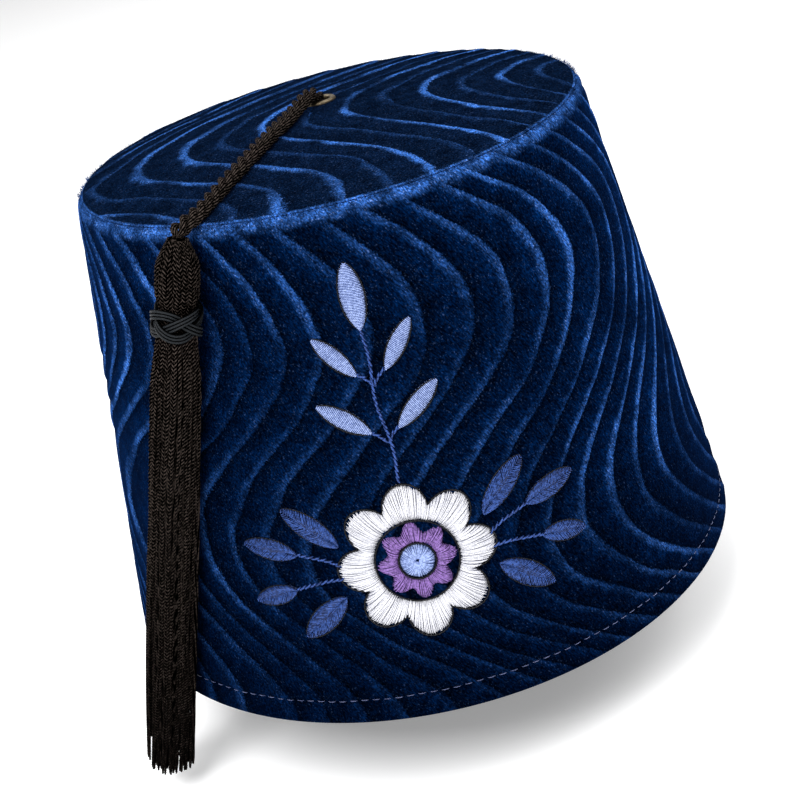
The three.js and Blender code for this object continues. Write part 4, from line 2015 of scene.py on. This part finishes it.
    def band(self) -> Shell:
        """The plaited band: three leads and four bights, each lead three cords wide.

        A lead's height is A sin(4t/3) and its depth B sin(8t/3) as t goes three times
        round the neck, so leads pass over and under in turn. Its cords lie side by
        side, square to the lead.

        Returns:
            The band's cords.
        """
        t = np.linspace(0, 3 * TURN, 420, endpoint=False)
        phase = 4 / 3 * t + self.band_start
        height = self.band_half_height * np.sin(phase)
        radius = self.band_radius - self.band_half_depth * np.sin(2 * phase)
        lean = np.arctan(self.band_half_height * 4 / 3 * np.cos(phase) / radius)
        origin, side, out = (part[0] for part in self.frame(np.array([self.band_centre])))
        up = np.cross(side, out)
        up = up if up[2] > 0 else -up
        a = np.linspace(0, TURN, 10, endpoint=False) + np.pi / 2
        cords = []
        for lane in (-self.band_lane, 0, self.band_lane):
            around = (t - lane * np.sin(lean) / radius)[:, None]
            level = height + lane * np.cos(lean)
            outward = np.cos(around) * side + np.sin(around) * out
            centre = origin + radius[:, None] * outward + level[:, None] * up
            tangent = loop_tangent(centre)
            across = unit(np.cross(tangent, outward))
            cords.append(sections(centre, across, np.cross(across, tangent), self.band_cord, a))
        return Shell.from_grid(np.stack(cords), grid_map(len(a), 1, len(t), 0.11), closed=True)

    def build(self, finish: bpy.types.Material) -> dict[str, bpy.types.Object]:
        """Builds head, skirt and band in place of the plain tassel.

        Args:
            finish: The black yarn.

        Returns:
            The pieces by their part of the tassel.
        """
        rng = np.random.default_rng(23)
        head = fit(self.head(rng).put("tassel_head", finish), "tassel")
        skirt = fit(self.skirt(rng).put("tassel_skirt", finish), "tassel")
        # Its cords' dark sides are painted shade
        grey = Yarn("grey braid cord", (0.0004, 0.0005, 0.0006), (0.019, 0.0215, 0.0245),
                    ridges=2, turns=0, groove=1.0, roughness=0.36, specular=0.04)
        band = fit(self.band().put("plaited_band", grey.material()), "tassel_band")
        return {"head": head, "skirt": skirt, "band": band}


# Set, light and camera


@dataclass(frozen=True)
class Softbox:
    """A square area light, by its place, the length of its side and its watts."""

    name: str
    place: tuple[float, float, float]
    size: float
    watts: float


@dataclass(frozen=True)
class Studio:
    """A pale floor under the hung hat, soft light and the camera."""

    floor: float = -0.031
    floor_reach: float = 12.0
    world_glow: float = 0.34
    lit_middle: tuple[float, float, float] = (0, 0, 0.08)
    lights: tuple[Softbox, ...] = (
        Softbox("overhead", (0.15, 0.35, 1.35), 2.4, 18),
        Softbox("key", (-0.3, -0.62, 0.85), 0.5, 10.5),
        Softbox("back left", (-0.6, 0.5, 0.75), 0.3, 2),
        Softbox("right", (0.85, 0.0, 0.85), 0.6, 5),
    )
    stand_at: tuple[float, float, float] = (0.0, -0.4275, 0.244)
    forward: tuple[float, float, float] = (0.00312, 0.90931, -0.41611)
    up: tuple[float, float, float] = (0.24722, 0.4025, 0.88141)
    lens: float = 69.4
    sensor: float = 36.0

    def camera(self) -> bpy.types.Object:
        """The camera, from the front and above, tipped to its left.

        Returns:
            The camera, made the scene's own.
        """
        data = bpy.data.cameras.new("camera")
        data.lens, data.sensor_width = self.lens, self.sensor
        data.clip_start, data.clip_end = 0.01, 20
        camera = bpy.data.objects.new("camera", data)
        bpy.context.scene.collection.objects.link(camera)
        ahead = Vector(self.forward).normalized()
        right = ahead.cross(Vector(self.up)).normalized()
        top = right.cross(ahead)
        turn = Matrix((right, top, -ahead)).transposed()
        camera.matrix_world = Matrix.Translation(Vector(self.stand_at)) @ turn.to_4x4()
        bpy.context.scene.camera = camera
        return camera

    def add_light(self, box: Softbox) -> None:
        """Makes an area light that faces the crown's middle.

        Args:
            box: The light.
        """
        data = bpy.data.lights.new(box.name, "AREA")
        data.energy, data.size = box.watts, box.size
        light = bpy.data.objects.new(box.name, data)
        bpy.context.scene.collection.objects.link(light)
        place = Vector(box.place)
        turn = (Vector(self.lit_middle) - place).to_track_quat("-Z", "Y").to_matrix()
        light.matrix_world = Matrix.Translation(place) @ turn.to_4x4()

    def build(self) -> None:
        """Makes the floor, the lights and the world, and fixes the colour response."""
        reach = self.floor_reach
        corners = np.array([[-reach, -reach], [reach, -reach], [reach, reach], [-reach, reach]])
        points = stacked(corners[:, 0], corners[:, 1], np.full(4, self.floor))
        mesh = bpy.data.meshes.new("floor")
        mesh.from_pydata(points.tolist(), [], [(0, 1, 2, 3)])
        mesh.materials.append(Paper().material())
        floor = bpy.data.objects.new("floor", mesh)
        bpy.context.scene.collection.objects.link(floor)
        for box in self.lights:
            self.add_light(box)
        world = bpy.data.worlds.new("studio")
        world.use_nodes = True
        shade = world.node_tree.nodes["Background"].inputs
        shade["Color"].default_value = (1, 1, 1, 1)
        shade["Strength"].default_value = self.world_glow
        scene = bpy.context.scene
        scene.world = world
        scene.view_settings.view_transform = "Standard"
        scene.view_settings.look = "None"


def dress_felt() -> None:
    """Gives the crown's own felt nodes their finish."""
    felt = Felt().material()
    for node in ("crown_wall", "crown_top"):
        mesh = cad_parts[node].data
        mesh.materials.clear()
        mesh.materials.append(felt)


def main() -> None:
    """Builds the camera first, then each sub-assembly."""
    logging.basicConfig(level=logging.INFO, format="%(name)s: %(message)s")
    form = CrownForm()
    studio = Studio()
    studio.camera()
    tassel = Tassel(form).build(BLACK.material())
    pieces = Cord().build([tassel["head"], tassel["band"]])
    pieces += list(tassel.values())
    pieces.append(Eyelet(form).build())
    dress_felt()
    pieces += VelvetCover(form, Waves()).build(Velvet())
    pieces += FlowerSpray(Stitching(form)).build()
    studio.build()
    for piece in pieces:
        LOG.info("%s: %d faces", piece.name, len(piece.data.polygons))


if __name__ == "__main__":
    main()
